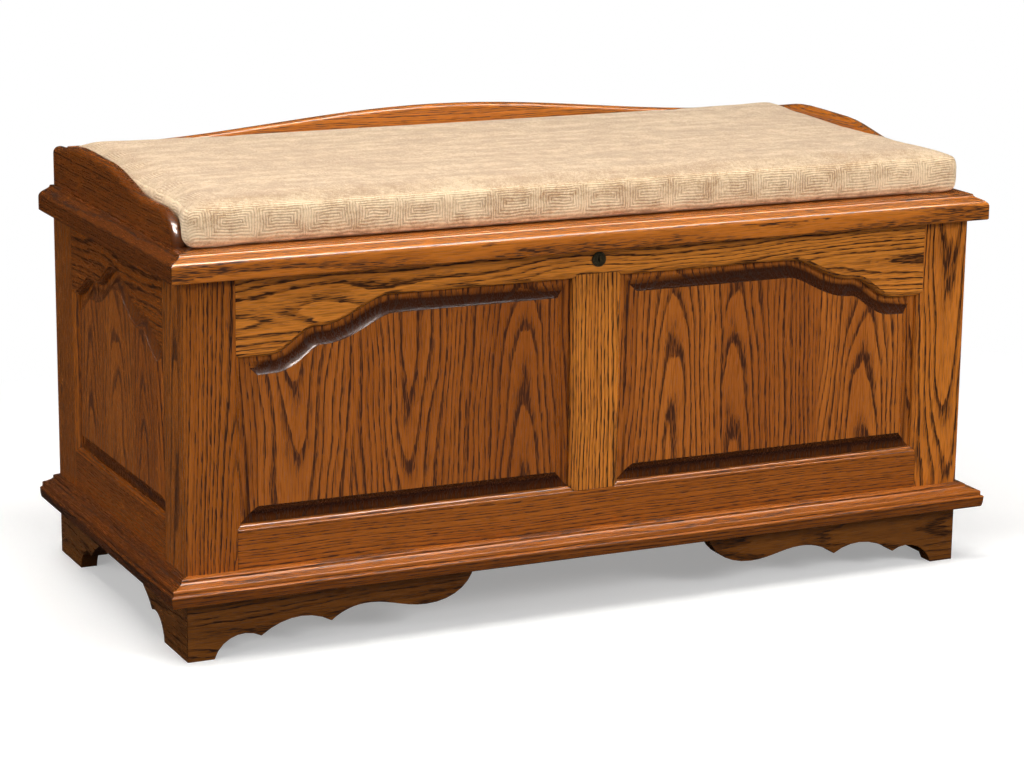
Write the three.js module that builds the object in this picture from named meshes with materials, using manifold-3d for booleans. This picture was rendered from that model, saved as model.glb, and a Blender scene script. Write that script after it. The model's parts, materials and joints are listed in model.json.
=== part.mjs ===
import * as THREE from 'three';
import { mergeVertices } from 'three/addons/utils/BufferGeometryUtils.js';
import Module from 'manifold-3d';

const wasm = await Module();
wasm.setup();

// A blanket chest of stained oak with a gallery round its lid and a box cushion on it.
// Millimetres, +Z up, front towards -Y, origin on the floor under the middle of the chest.

// Driving dimensions
const lidWidth = 1120;
const lidDepth = 525;
const lidThickness = 32.5;
const lidOverhang = 20;
const caseTop = 464;
const footHeight = 76.5;
const frameThickness = 22;

// Frames: widths are measured on the face, up to the moulded edge of the opening
const frontStileWidth = 65;
const middleStileWidth = 56;
const sideStileReach = 74;
const backStileWidth = 62;
const bottomRailHeight = 80;
const backTopRailHeight = 70;
const railHeightAtShoulder = 92.5;
const railHeightAtLedge = 62.5;
const railHeightAtCrown = 31.5;

// Arches: shares of the opening's width, from its side to its crown
const frontArchShares = { shoulder: 0.098, firstRise: 0.134, ledge: 0.014, secondRise: 0.206 };
const sideArchShares = { shoulder: 0.022, firstRise: 0.196, ledge: 0.052, secondRise: 0.205 };

// Moulded edge, panel groove and joints
const stickingWidth = 6;
const stickingDepth = 7.5;
const stickingShares = [[0, 0], [0, 0.16], [0.35, 0.22], [0.7, 0.44], [0.93, 0.72], [1, 1]];
const grooveSetback = 9;
const grooveWidth = 6.5;
const grooveDepth = 9;
const panelFloat = 1;
const slidingClearance = 0.25;
const mitreGap = 0.3;
const tenonLength = 7;
const tenonShoulder = 12;

// Raised panels
const fieldInset = 27;
const fieldSetback = 1;
const fieldStep = 1.2;
const coveMargin = 1.5;
const coveSteps = 5;

// Case bottom
const bottomBoardThickness = 12;
const bottomBoardTop = 118;
const cleatHeight = 22;
const cleatWidth = 20;

// Base moulding
const baseMouldingHeight = 31;
const baseMouldingProjection = 28;
const baseMouldingShares = [
  [0, 1], [0.29, 0.97], [0.34, 0.92], [0.34, 0.85], [0.46, 0.79], [0.64, 0.745], [0.8, 0.725],
  [0.875, 0.67], [0.875, 0.52], [0.96, 0.5], [1, 0.45], [1, 0.1], [0.965, 0.03], [0.9, 0],
];

// Bracket feet: each table runs from the foot to the far end in shares of length and height
const frontBracketLength = 375;
const sideBracketLength = 195;
const backBracketLength = 115;
const frontScallopShares = [
  [[0.091, 0]],
  [[0.112, 0.327], [0.191, 0.461], [0.251, 0.288]],
  [[0.322, 0.55], [0.418, 0.614], [0.493, 0.386]],
  [[0.533, 0.536], [0.579, 0.608], [0.629, 0.601]],
  [[0.699, 0.595], [0.752, 0.451], [0.827, 0.451]],
  [[0.92, 0.451], [0.987, 0.68], [1, 1]],
];
const sideScallopShares = [
  [[0.436, 0]],
  [[0.451, 0.26], [0.554, 0.5], [0.672, 0.373]],
  [[0.749, 0.63], [0.92, 0.66], [1, 1]],
];
const backScallopShares = [
  [[0.4, 0]],
  [[0.48, 0.5], [0.74, 0.82], [1, 1]],
];
const glueBlockSize = 38;
const glueBlockHeight = 32;

// Lid
const lidEdgeWidth = 58;
const lidPanelThickness = 19;
const lidTongueLength = 8;
const lidEdgeArris = 1.2;
const lidOgeeWidth = 15.5;
const lidOgeeBase = 18.5;
const lidOgeeFillet = 1.5;
const lidOgeeShares = { lower: [0.05, 0.64], upper: [0.87, 0.66] };

// Gallery
const galleryThickness = 18;
const gallerySetback = 21.5;
const galleryRoundover = 8;
const armLength = 470.5;
const armHeight = 63;
const backRailEndHeight = 50;
const backRailCrownRise = 29;
const backRailCrownReachShare = 0.925;
const armOutlineShares = [
  [[1, 0]],
  [[1, 0.34], [0.955, 0.6], [0.89, 0.64]],
  [[0.86, 0.655], [0.83, 0.635], [0.792, 0.635]],
  [[0.66, 0.635], [0.56, 0.955], [0.452, 0.975]],
  [[0.38, 0.985], [0.31, 1], [0.239, 1]],
  [[0.15, 1], [0.08, 0.79], [0, 0.79]],
];

// Cushion
const cushionThickness = 52;
const cushionCrown = 6;
const cushionClearance = 0.5;
const cushionFrontSetback = 22;
const cushionCornerRadius = 16;
const cushionEdgeRadius = 12;
const cushionDrawIn = 4;
const cushionSideBulge = 2.5;

// Hinges
const hingeLength = 76;
const hingeFromSide = 180;
const hingeLeafThickness = 1.8;
const knuckleRadius = 3.8;
const knuckleOffset = 4;
const knuckleCount = 5;
const knuckleGap = 0.3;
const hingePinRadius = 1.5;
const hingePinClearance = 0.08;
const hingePinOverhang = 1;

// Lock
const lockBelowCaseTop = 14;
const lockFlangeRadius = 9.6;
const lockFlangeThickness = 1.6;
const lockBarrelRadius = 8;
const lockBoreClearance = 0.3;
const lockNutRadius = 11.5;
const lockNutThickness = 4;
const lockPlugRadius = 6;
const lockPlugClearance = 0.1;
const lockPlugRecess = 0.6;
const keyholeWidth = 1.6;
const keyholeHeight = 7;
const keyholeDepth = 5;
const keyholeEyeRadius = 1.5;
const camLength = 24;
const camWidth = 12;
const camThickness = 2.2;
const camScrewRadius = 4;
const camScrewHeight = 1.6;
const camClearance = 0.3;
const camMortiseClearance = 1;
const strikeThickness = 1.8;
const strikeWidth = 22;
const strikeFromLock = 13;
const strikeLipBelowCam = 4;
const strikeRise = 12;

// One overrun serves all cuts that pass out of the wood
const cutOverrun = 3;

// How finely curves are cut up
const curveSteps = 7;
const roundSides = 24;
const knuckleSides = 12;
const nutSides = 6;
const roundoverSteps = 4;
const frontArchSteps = 22;
const sideArchSteps = 36;
const backRailSteps = 32;
const envelopeSteps = 24;
const cushionSideSteps = 9;
const cushionCornerSteps = 4;
const cushionCrownShares = [0.9, 0.72, 0.5, 0.25];
const archEndMargin = 0.03;

// Places worked out from the sizes
const bodyHalfWidth = lidWidth / 2 - lidOverhang;
const bodyDepth = lidDepth - lidOverhang;
const overallDepth = baseMouldingProjection + bodyDepth + knuckleOffset + knuckleRadius;
const bodyFront = baseMouldingProjection - overallDepth / 2;
const bodyBack = bodyFront + bodyDepth;
const innerHalfWidth = bodyHalfWidth - frameThickness;
const innerFront = bodyFront + frameThickness;
const innerBack = bodyBack - frameThickness;
const frameHeight = caseTop - footHeight;
const lidFront = bodyFront - lidOverhang;
const lidHalfWidth = lidWidth / 2;
const lidTop = caseTop + lidThickness;
const hingeAxisY = bodyBack + knuckleOffset;
const hingeFromCentre = bodyHalfWidth - hingeFromSide;
const archLow = frameHeight - railHeightAtShoulder;
const archLedge = frameHeight - railHeightAtLedge;
const archHigh = frameHeight - railHeightAtCrown;
const lockHeight = caseTop - lockBelowCaseTop;
const camFront = innerFront + lockNutThickness + camClearance;
const galleryHalfWidth = lidHalfWidth - gallerySetback;

// Materials
const oak = { color: 0x8f5526, roughness: 0.38, metalness: 0 };
const paleOak = { color: 0xa97b4d, roughness: 0.7, metalness: 0 };
const coverCloth = { color: 0xd9bf94, roughness: 0.95, metalness: 0 };
const brass = { color: 0xb08d57, roughness: 0.35, metalness: 1 };
const darkBronze = { color: 0x3a342c, roughness: 0.4, metalness: 1 };

function piece(name, geometry, finish) {
  const shown = geometry.index ? geometry.toNonIndexed() : geometry;
  shown.computeVertexNormals();
  const mesh = new THREE.Mesh(shown, new THREE.MeshStandardMaterial(finish));
  mesh.name = name;
  return mesh;
}

// Joining and cutting of closed meshes
function toSolid(geometry) {
  const bare = geometry.clone();
  for (const attribute of Object.keys(bare.attributes)) {
    if (attribute !== 'position') bare.deleteAttribute(attribute);
  }
  const merged = mergeVertices(bare);
  const mesh = new wasm.Mesh({
    numProp: 3,
    vertProperties: new Float32Array(merged.attributes.position.array),
    triVerts: new Uint32Array(merged.index.array),
  });
  return new wasm.Manifold(mesh);
}

function toGeometry(solid) {
  const mesh = solid.getMesh();
  const geometry = new THREE.BufferGeometry();
  geometry.setAttribute('position', new THREE.BufferAttribute(mesh.vertProperties, 3));
  geometry.setIndex(new THREE.BufferAttribute(mesh.triVerts, 1));
  return geometry;
}

function carve(base, cutters = [], additions = []) {
  let solid = toSolid(base);
  for (const addition of additions) solid = solid.add(toSolid(addition));
  for (const cutter of cutters) solid = solid.subtract(toSolid(cutter));
  return toGeometry(solid);
}

// A box between two corners
function block(x0, x1, y0, y1, z0, z1) {
  const geometry = new THREE.BoxGeometry(x1 - x0, y1 - y0, z1 - z0);
  geometry.translate((x0 + x1) / 2, (y0 + y1) / 2, (z0 + z1) / 2);
  return geometry;
}

// A round bar along X or Y
function roundBar(axis, radius, start, end, centre, sides = roundSides) {
  const geometry = new THREE.CylinderGeometry(radius, radius, end - start, sides);
  if (axis === 'x') geometry.rotateZ(Math.PI / 2);
  const middle = (start + end) / 2;
  if (axis === 'x') geometry.translate(middle, centre[0], centre[1]);
  else geometry.translate(centre[0], middle, centre[1]);
  return geometry;
}

// Closed skin through a stack of rings with equal counts of points, capped at both ends.
// flat tells the cap which two coordinates to lay a ring out in.
function loft(rings, flat) {
  const count = rings[0].length;
  const points = rings.flat();
  const faces = [];
  for (let r = 0; r + 1 < rings.length; r += 1) {
    for (let i = 0; i < count; i += 1) {
      const j = (i + 1) % count;
      const a = r * count + i;
      const b = r * count + j;
      faces.push([a, b, b + count], [a, b + count, a + count]);
    }
  }
  const last = (rings.length - 1) * count;
  const flattened = (ring) => ring.map((p) => new THREE.Vector2(...flat(p)));
  const capOf = (ring) => THREE.ShapeUtils.triangulateShape(flattened(ring), []);
  const firstCap = capOf(rings[0]);
  const lastCap = capOf(rings[rings.length - 1]);
  const sameTurn = THREE.ShapeUtils.area(rings[0].map((p) => new THREE.Vector2(...flat(p)))) > 0;
  for (const [a, b, c] of firstCap) faces.push(sameTurn ? [a, c, b] : [a, b, c]);
  for (const [a, b, c] of lastCap) {
    faces.push(sameTurn ? [last + a, last + b, last + c] : [last + a, last + c, last + b]);
  }
  const geometry = new THREE.BufferGeometry();
  geometry.setAttribute('position', new THREE.Float32BufferAttribute(points.flat(), 3));
  geometry.setIndex(faces.flat());
  return outward(geometry);
}

// Turns a closed mesh's faces outwards when its signed volume is negative
function outward(geometry) {
  const position = geometry.attributes.position;
  const index = geometry.index.array;
  const corners = [new THREE.Vector3(), new THREE.Vector3(), new THREE.Vector3()];
  let volume = 0;
  for (let i = 0; i < index.length; i += 3) {
    corners.forEach((corner, k) => corner.fromBufferAttribute(position, index[i + k]));
    volume += corners[0].dot(corners[1].cross(corners[2]));
  }
  if (volume < 0) {
    for (let i = 0; i < index.length; i += 3) [index[i], index[i + 1]] = [index[i + 1], index[i]];
  }
  return geometry;
}

// Points of a path given as cubic curves in shares of a length and a height
function pathFromShares(table, length, height, steps = curveSteps) {
  const scaled = table.map((stretch) => stretch.map(([s, h]) => new THREE.Vector2(s * length, h * height)));
  const points = [scaled[0][0]];
  for (const [first, second, end] of scaled.slice(1)) {
    const curve = new THREE.CubicBezierCurve(points[points.length - 1], first, second, end);
    points.push(...curve.getPoints(steps).slice(1));
  }
  return points;
}

// Height of an arch over its opening, u measured from the low shoulder
function archHeight(u, width, shares, low, ledge, high) {
  const ease = (start, run) => {
    const t = THREE.MathUtils.clamp((u - start) / run, 0, 1);
    return (1 - Math.cos(Math.PI * t)) / 2;
  };
  const firstStart = shares.shoulder * width;
  const firstRun = shares.firstRise * width;
  const secondStart = firstStart + firstRun + shares.ledge * width;
  const secondRun = shares.secondRise * width;
  return low + (ledge - low) * ease(firstStart, firstRun) + (high - ledge) * ease(secondStart, secondRun);
}

// Places along the top of an opening where its outline gets a point, as shares of its width
function stationsBetween(from, to, steps) {
  return Array.from({ length: steps + 1 }, (_, i) => from + ((to - from) * i) / steps);
}

// The outline of an opening, moved in by inset (out when it is negative). The top edge is the
// envelope of a disc rolled along it, so that it stays clean round the humps of the arch.
function openingOutline(opening, inset) {
  const { left, bottom, width, crest, stations } = opening;
  const start = left + inset;
  const run = width - 2 * inset;
  const radius = Math.abs(inset);
  const sign = Math.sign(inset);
  const topAt = (u) => {
    let best = crest(u) - inset;
    for (let i = -envelopeSteps; i <= envelopeSteps; i += 1) {
      const shift = (radius * i) / envelopeSteps;
      const height = crest(u + shift) - sign * Math.sqrt(Math.max(0, radius * radius - shift * shift));
      best = sign > 0 ? Math.min(best, height) : Math.max(best, height);
    }
    return best;
  };
  const points = [[start, bottom + inset], [start + run, bottom + inset]];
  for (const share of [...stations].reverse()) {
    const along = start + share * run;
    points.push([along, topAt(along - left)]);
  }
  return points;
}

function openingLoft(opening, levels) {
  const rings = levels.map(([inset, depth]) => (
    openingOutline(opening, inset).map(([u, v]) => [u, depth, v])
  ));
  return loft(rings, ([u, , v]) => [u, v]);
}

// The space that an opening takes out of its frame: moulded edge, sight edge and panel groove
function openingCutter(opening) {
  const sight = stickingWidth;
  const grooveEdge = sight - grooveDepth;
  const grooveBack = grooveSetback + grooveWidth;
  const moulding = stickingShares.map(([across, down]) => [across * stickingWidth, down * stickingDepth]);
  return openingLoft(opening, [
    [0, -cutOverrun],
    ...moulding,
    [sight, grooveSetback],
    [grooveEdge, grooveSetback],
    [grooveEdge, grooveBack],
    [sight, grooveBack],
    [sight, frameThickness + cutOverrun],
  ]);
}

// A panel whose tongue floats in the groove. A raised one climbs a cove to its field.
function panelGeometry(opening, raised) {
  const tongueEdge = stickingWidth - grooveDepth + panelFloat;
  const tongueFront = grooveSetback + slidingClearance;
  const tongueBack = grooveSetback + grooveWidth - slidingClearance;
  if (!raised) return openingLoft(opening, [[tongueEdge, tongueFront], [tongueEdge, tongueBack]]);
  const coveFoot = stickingWidth + coveMargin;
  const coveTop = fieldInset - slidingClearance;
  const coveRise = tongueFront - fieldSetback - fieldStep;
  const coveRun = coveTop - coveFoot;
  const coveRadius = (coveRun * coveRun + coveRise * coveRise) / (2 * coveRise);
  const coveAngle = Math.asin(coveRun / coveRadius);
  const cove = [];
  for (let i = coveSteps; i >= 0; i -= 1) {
    const angle = (coveAngle * i) / coveSteps;
    cove.push([coveFoot + coveRadius * Math.sin(angle), tongueFront - coveRadius * (1 - Math.cos(angle))]);
  }
  return openingLoft(opening, [
    [fieldInset, fieldSetback],
    ...cove,
    [tongueEdge, tongueFront],
    [tongueEdge, tongueBack],
  ]);
}

// A flat outline in the plane of a frame, given its thickness
function slab(outline, front = 0, back = frameThickness) {
  const rings = [front, back].map((depth) => outline.map(([u, v]) => [u, depth, v]));
  return loft(rings, ([u, , v]) => [u, v]);
}

// A frame with one or two openings, seen from outside: u to the right, depth inwards, v up.
// Stiles run full height; rails and a middle stile are tenoned between them, and the moulded
// edges meet in mitres.
function frameAndPanels(width, leftStile, rightStile, openings, raised, labels, finish, extraCuts = {}) {
  const cutters = openings.map(openingCutter);
  const tenonFront = grooveSetback + slidingClearance;
  const tenonBack = grooveSetback + grooveWidth - slidingClearance;
  const sight = stickingWidth;
  const firstOpening = openings[0];
  const lastOpening = openings[openings.length - 1];
  const leftTop = firstOpening.crest(0);
  const rightTop = lastOpening.crest(lastOpening.width);
  const bottom = firstOpening.bottom;
  const rightEdge = width - rightStile;
  const result = [];

  const mortise = (u0, u1, v0, v1) => block(
    u0 - mitreGap, u1 + mitreGap, grooveSetback, grooveSetback + grooveWidth, v0 - mitreGap, v1 + mitreGap,
  );
  const railTenon = (end, direction, v0, v1) => {
    const tip = end + direction * tenonLength;
    return [Math.min(end - direction, tip), Math.max(end - direction, tip), v0, v1];
  };
  const tenonBox = ([u0, u1, v0, v1]) => block(u0, u1, tenonFront, tenonBack, v0, v1);

  const bottomTenon = [tenonShoulder, bottom - tenonShoulder];
  const topTenon = (low) => [low + tenonShoulder, frameHeight - tenonShoulder];
  const railTenons = (end, direction, low) => [
    railTenon(end, direction, ...bottomTenon),
    railTenon(end, direction, ...topTenon(low)),
  ];
  const leftTenons = railTenons(leftStile, -1, leftTop);
  const rightTenons = railTenons(rightEdge, 1, rightTop);

  const leftOutline = [
    [0, 0], [leftStile, 0], [leftStile, bottom], [leftStile + sight, bottom + sight],
    [leftStile + sight, leftTop - sight], [leftStile, leftTop], [leftStile, frameHeight], [0, frameHeight],
  ];
  const rightOutline = [
    [rightEdge, 0], [width, 0], [width, frameHeight], [rightEdge, frameHeight], [rightEdge, rightTop],
    [rightEdge - sight, rightTop - sight], [rightEdge - sight, bottom + sight], [rightEdge, bottom],
  ];
  result.push(piece(labels.leftStile, carve(
    slab(leftOutline), [...cutters, ...leftTenons.map((box) => mortise(...box))],
  ), finish));
  result.push(piece(labels.rightStile, carve(
    slab(rightOutline), [...cutters, ...rightTenons.map((box) => mortise(...box))],
  ), finish));

  const rightEnds = openings.map((opening) => opening.left + opening.width);
  const middles = openings.slice(1).map((opening, i) => [rightEnds[i], opening.left]);
  const middleTop = openings.length > 1 ? firstOpening.crest(firstOpening.width) : 0;
  const middleTenons = middles.flatMap(([u0, u1]) => [
    [u0 + tenonShoulder, u1 - tenonShoulder, bottom - tenonLength, bottom + sight],
    [u0 + tenonShoulder, u1 - tenonShoulder, middleTop - sight, middleTop + tenonLength],
  ]);

  const bottomEdge = [];
  const topEdge = [];
  for (const opening of openings) {
    const u0 = opening.left;
    const u1 = opening.left + opening.width;
    const reach = sight + mitreGap;
    bottomEdge.push([u0, bottom], [u0 + reach, bottom + sight], [u1 - reach, bottom + sight], [u1, bottom]);
    const lowLeft = opening.crest(0);
    const lowRight = opening.crest(opening.width);
    const lowest = Math.min(lowLeft, lowRight) - sight;
    const edge = [[u0, lowLeft], [u0 + reach, lowLeft - sight]];
    if (lowLeft - sight > lowest) edge.push([u0 + reach, lowest]);
    if (lowRight - sight > lowest) edge.push([u1 - reach, lowest]);
    topEdge.push(...edge, [u1 - reach, lowRight - sight], [u1, lowRight]);
  }
  const bottomOutline = [[leftStile, 0], [rightEdge, 0], ...[...bottomEdge].reverse()];
  const topOutline = [...topEdge, [rightEdge, frameHeight], [leftStile, frameHeight]];
  result.push(piece(labels.bottomRail, carve(
    slab(bottomOutline),
    [...cutters, ...middleTenons.map((box) => mortise(...box))],
    [tenonBox(leftTenons[0]), tenonBox(rightTenons[0])],
  ), finish));
  result.push(piece(labels.topRail, carve(
    slab(topOutline),
    [...cutters, ...middleTenons.map((box) => mortise(...box)), ...(extraCuts.topRail ?? [])],
    [tenonBox(leftTenons[1]), tenonBox(rightTenons[1])],
  ), finish));

  middles.forEach(([u0, u1], i) => {
    const outline = [
      [u0, bottom], [u1, bottom], [u1 + sight, bottom + sight], [u1 + sight, middleTop - sight],
      [u1, middleTop], [u0, middleTop], [u0 - sight, middleTop - sight], [u0 - sight, bottom + sight],
    ];
    result.push(piece(labels.middleStiles[i], carve(
      slab(outline), cutters, middleTenons.slice(2 * i, 2 * i + 2).map(tenonBox),
    ), finish));
  });
  openings.forEach((opening, i) => {
    result.push(piece(labels.panels[i], panelGeometry(opening, raised), finish));
  });
  return result;
}

// A group whose axes are set exactly: u along one world axis, depth along another, v up
function facing(along, inward, corner, meshes) {
  const group = new THREE.Group();
  group.matrixAutoUpdate = false;
  const axes = [along, inward, [0, 0, 1]].map((axis) => new THREE.Vector3(...axis));
  group.matrix.makeBasis(...axes);
  group.matrix.setPosition(...corner);
  group.add(...meshes);
  return group;
}

function frontFrame() {
  const width = 2 * bodyHalfWidth;
  const openingWidth = (width - 2 * frontStileWidth - middleStileWidth) / 2;
  const rise = (u) => archHeight(u, openingWidth, frontArchShares, archLow, archLedge, archHigh);
  const curved = frontArchShares.shoulder + frontArchShares.firstRise
    + frontArchShares.ledge + frontArchShares.secondRise;
  const archStart = frontArchShares.shoulder - archEndMargin;
  const arched = stationsBetween(archStart, curved + archEndMargin, frontArchSteps);
  const leftStations = [0, ...arched, 1];
  const rightStations = leftStations.map((share) => 1 - share).reverse();
  const openings = [
    {
      left: frontStileWidth,
      width: openingWidth,
      bottom: bottomRailHeight,
      crest: rise,
      stations: leftStations,
    },
    {
      left: frontStileWidth + openingWidth + middleStileWidth,
      width: openingWidth,
      bottom: bottomRailHeight,
      crest: (u) => rise(openingWidth - u),
      stations: rightStations,
    },
  ];
  const labels = {
    leftStile: 'front_stile_left',
    rightStile: 'front_stile_right',
    bottomRail: 'front_rail_bottom',
    topRail: 'front_rail_top',
    middleStiles: ['front_stile_middle'],
    panels: ['front_panel_left', 'front_panel_right'],
  };
  const lockBore = roundBar(
    'y', lockBarrelRadius + lockBoreClearance, -cutOverrun, frameThickness + cutOverrun,
    [bodyHalfWidth, lockHeight - footHeight],
  );
  const meshes = frameAndPanels(
    width, frontStileWidth, frontStileWidth, openings, true, labels, oak, { topRail: [lockBore] },
  );
  return facing([1, 0, 0], [0, 1, 0], [-bodyHalfWidth, bodyFront, footHeight], meshes);
}

function sideFrame(side) {
  const width = bodyDepth - frameThickness;
  const frontStile = sideStileReach - frameThickness;
  const openingWidth = width - frontStile - sideStileReach;
  const rise = (u) => archHeight(
    Math.min(u, openingWidth - u), openingWidth, sideArchShares, archLow, archLedge, archHigh,
  );
  const isLeft = side === 'left';
  const leftStile = isLeft ? sideStileReach : frontStile;
  const rightStile = isLeft ? frontStile : sideStileReach;
  const openings = [{
    left: leftStile,
    width: openingWidth,
    bottom: bottomRailHeight,
    crest: rise,
    stations: stationsBetween(0, 1, sideArchSteps),
  }];
  const labels = {
    leftStile: isLeft ? 'left_stile_back' : 'right_stile_front',
    rightStile: isLeft ? 'left_stile_front' : 'right_stile_back',
    bottomRail: `${side}_rail_bottom`,
    topRail: `${side}_rail_top`,
    middleStiles: [],
    panels: [`${side}_panel`],
  };
  const meshes = frameAndPanels(width, leftStile, rightStile, openings, true, labels, oak);
  if (isLeft) return facing([0, -1, 0], [1, 0, 0], [-bodyHalfWidth, bodyBack, footHeight], meshes);
  return facing([0, 1, 0], [-1, 0, 0], [bodyHalfWidth, innerFront, footHeight], meshes);
}

function backFrame() {
  const width = 2 * innerHalfWidth;
  const openingWidth = width - 2 * backStileWidth;
  const openings = [{
    left: backStileWidth,
    width: openingWidth,
    bottom: bottomRailHeight,
    crest: () => frameHeight - backTopRailHeight,
    stations: [0, 1],
  }];
  const labels = {
    leftStile: 'back_stile_right',
    rightStile: 'back_stile_left',
    bottomRail: 'back_rail_bottom',
    topRail: 'back_rail_top',
    middleStiles: [],
    panels: ['back_panel'],
  };
  const mortises = [-1, 1].map((sideSign) => {
    const centre = innerHalfWidth + sideSign * hingeFromCentre;
    return block(
      centre - hingeLength / 2 - knuckleGap, centre + hingeLength / 2 + knuckleGap,
      -cutOverrun, frameThickness + cutOverrun,
      frameHeight - hingeLeafThickness, frameHeight + cutOverrun,
    );
  });
  const meshes = frameAndPanels(
    width, backStileWidth, backStileWidth, openings, false, labels, oak, { topRail: mortises },
  );
  return facing([-1, 0, 0], [0, -1, 0], [innerHalfWidth, bodyBack, footHeight], meshes);
}

// The bottom board lies on two cleats fixed inside the bottom rails
function caseBottom() {
  const boardUnderside = bottomBoardTop - bottomBoardThickness;
  const reach = innerHalfWidth - mitreGap;
  const board = block(
    -reach, reach, innerFront + mitreGap, innerBack - mitreGap, boardUnderside, bottomBoardTop,
  );
  const cleatBottom = boardUnderside - cleatHeight;
  const frontCleat = block(
    -reach, reach, innerFront, innerFront + cleatWidth, cleatBottom, boardUnderside,
  );
  const backCleat = block(-reach, reach, innerBack - cleatWidth, innerBack, cleatBottom, boardUnderside);
  return [
    piece('bottom_board', board, paleOak),
    piece('cleat_front', frontCleat, paleOak),
    piece('cleat_back', backCleat, paleOak),
  ];
}

// A strip of one profile between two ends, each end cut square or mitred. Its ends are given as
// functions of the distance in from the outer face.
function strip(profile, startAt, endAt) {
  const rings = [startAt, endAt].map((place) => profile.map(([inwards, height]) => place(inwards, height)));
  const corners = profile.map((point) => new THREE.Vector2(...point));
  const count = profile.length;
  const faces = [];
  for (let i = 0; i < count; i += 1) {
    const j = (i + 1) % count;
    faces.push([i, j, j + count], [i, j + count, i + count]);
  }
  const cap = THREE.ShapeUtils.triangulateShape(corners, []);
  const turn = THREE.ShapeUtils.area(corners) > 0;
  for (const [a, b, c] of cap) {
    faces.push(turn ? [a, c, b] : [a, b, c]);
    faces.push(turn ? [a + count, b + count, c + count] : [a + count, c + count, b + count]);
  }
  const geometry = new THREE.BufferGeometry();
  geometry.setAttribute('position', new THREE.Float32BufferAttribute(rings.flat(2), 3));
  geometry.setIndex(faces.flat());
  return outward(geometry);
}

// Mouldings run along the front and both sides of a rectangle and mitre at its front corners.
// A gap at the mitre is taken off the side pieces.
function mitredSurround(profile, halfWidth, front, back, base, names, finish) {
  const frontStrip = strip(
    profile,
    (inwards, height) => [inwards - halfWidth, front + inwards, base + height],
    (inwards, height) => [halfWidth - inwards, front + inwards, base + height],
  );
  const sideStrip = (sign) => strip(
    profile,
    (inwards, height) => [sign * (halfWidth - inwards), front + inwards + mitreGap, base + height],
    (inwards, height) => [sign * (halfWidth - inwards), back, base + height],
  );
  return [
    piece(names[0], frontStrip, finish),
    piece(names[1], sideStrip(-1), finish),
    piece(names[2], sideStrip(1), finish),
  ];
}

function baseMoulding() {
  const profile = baseMouldingShares.map(([out, up]) => [
    (1 - out) * baseMouldingProjection, up * baseMouldingHeight,
  ]);
  profile.push([baseMouldingProjection, 0]);
  return mitredSurround(
    profile, bodyHalfWidth + baseMouldingProjection, bodyFront - baseMouldingProjection, bodyBack,
    footHeight, ['base_moulding_front', 'base_moulding_left', 'base_moulding_right'], oak,
  );
}

// A bracket foot board: scalloped below, its corner end square or mitred to its neighbour
function bracketBoard(table, length, cornerCut) {
  const scallop = pathFromShares(table, length, footHeight).map((point) => [point.x, point.y]);
  const outlineFrom = (start) => [[start, footHeight], [start, 0], ...scallop];
  const rings = [
    outlineFrom(0).map(([u, v]) => [u, 0, v]),
    outlineFrom(cornerCut).map(([u, v]) => [u, frameThickness, v]),
  ];
  return loft(rings, ([u, , v]) => [u, v]);
}

// Lays a board out along world axes: outer corner, direction of its length, direction inwards
function laid(geometry, corner, along, inward) {
  const matrix = new THREE.Matrix4().makeBasis(
    new THREE.Vector3(...along), new THREE.Vector3(...inward), new THREE.Vector3(0, 0, 1),
  );
  matrix.setPosition(...corner);
  const moved = geometry.clone().applyMatrix4(matrix);
  return matrix.determinant() < 0 ? outward(moved) : moved;
}

function feet() {
  const mitre = frameThickness;
  const result = [];
  for (const [side, sign] of [['left', -1], ['right', 1]]) {
    const inwardX = [-sign, 0, 0];
    const outerX = sign * bodyHalfWidth;
    const front = laid(
      bracketBoard(frontScallopShares, frontBracketLength, mitre),
      [outerX, bodyFront, 0], inwardX, [0, 1, 0],
    );
    const sideFront = laid(
      bracketBoard(sideScallopShares, sideBracketLength - mitreGap, mitre),
      [outerX, bodyFront + mitreGap, 0], [0, 1, 0], inwardX,
    );
    const sideBack = laid(
      bracketBoard(sideScallopShares, sideBracketLength, 0), [outerX, bodyBack, 0], [0, -1, 0], inwardX,
    );
    const back = laid(
      bracketBoard(backScallopShares, backBracketLength, 0),
      [sign * innerHalfWidth, bodyBack, 0], inwardX, [0, -1, 0],
    );
    const blockFar = innerHalfWidth - glueBlockSize;
    const blockX = [sign * innerHalfWidth, sign * blockFar].sort((a, b) => a - b);
    const blockZ = [footHeight - glueBlockHeight, footHeight];
    const frontBlock = block(...blockX, innerFront, innerFront + glueBlockSize, ...blockZ);
    const backBlock = block(...blockX, innerBack - glueBlockSize, innerBack, ...blockZ);
    result.push(
      piece(`foot_bracket_front_${side}`, front, oak),
      piece(`foot_bracket_${side}_front`, sideFront, oak),
      piece(`foot_bracket_${side}_back`, sideBack, oak),
      piece(`foot_bracket_back_${side}`, back, oak),
      piece(`glue_block_front_${side}`, frontBlock, paleOak),
      piece(`glue_block_back_${side}`, backBlock, paleOak),
    );
  }
  return result;
}

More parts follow.
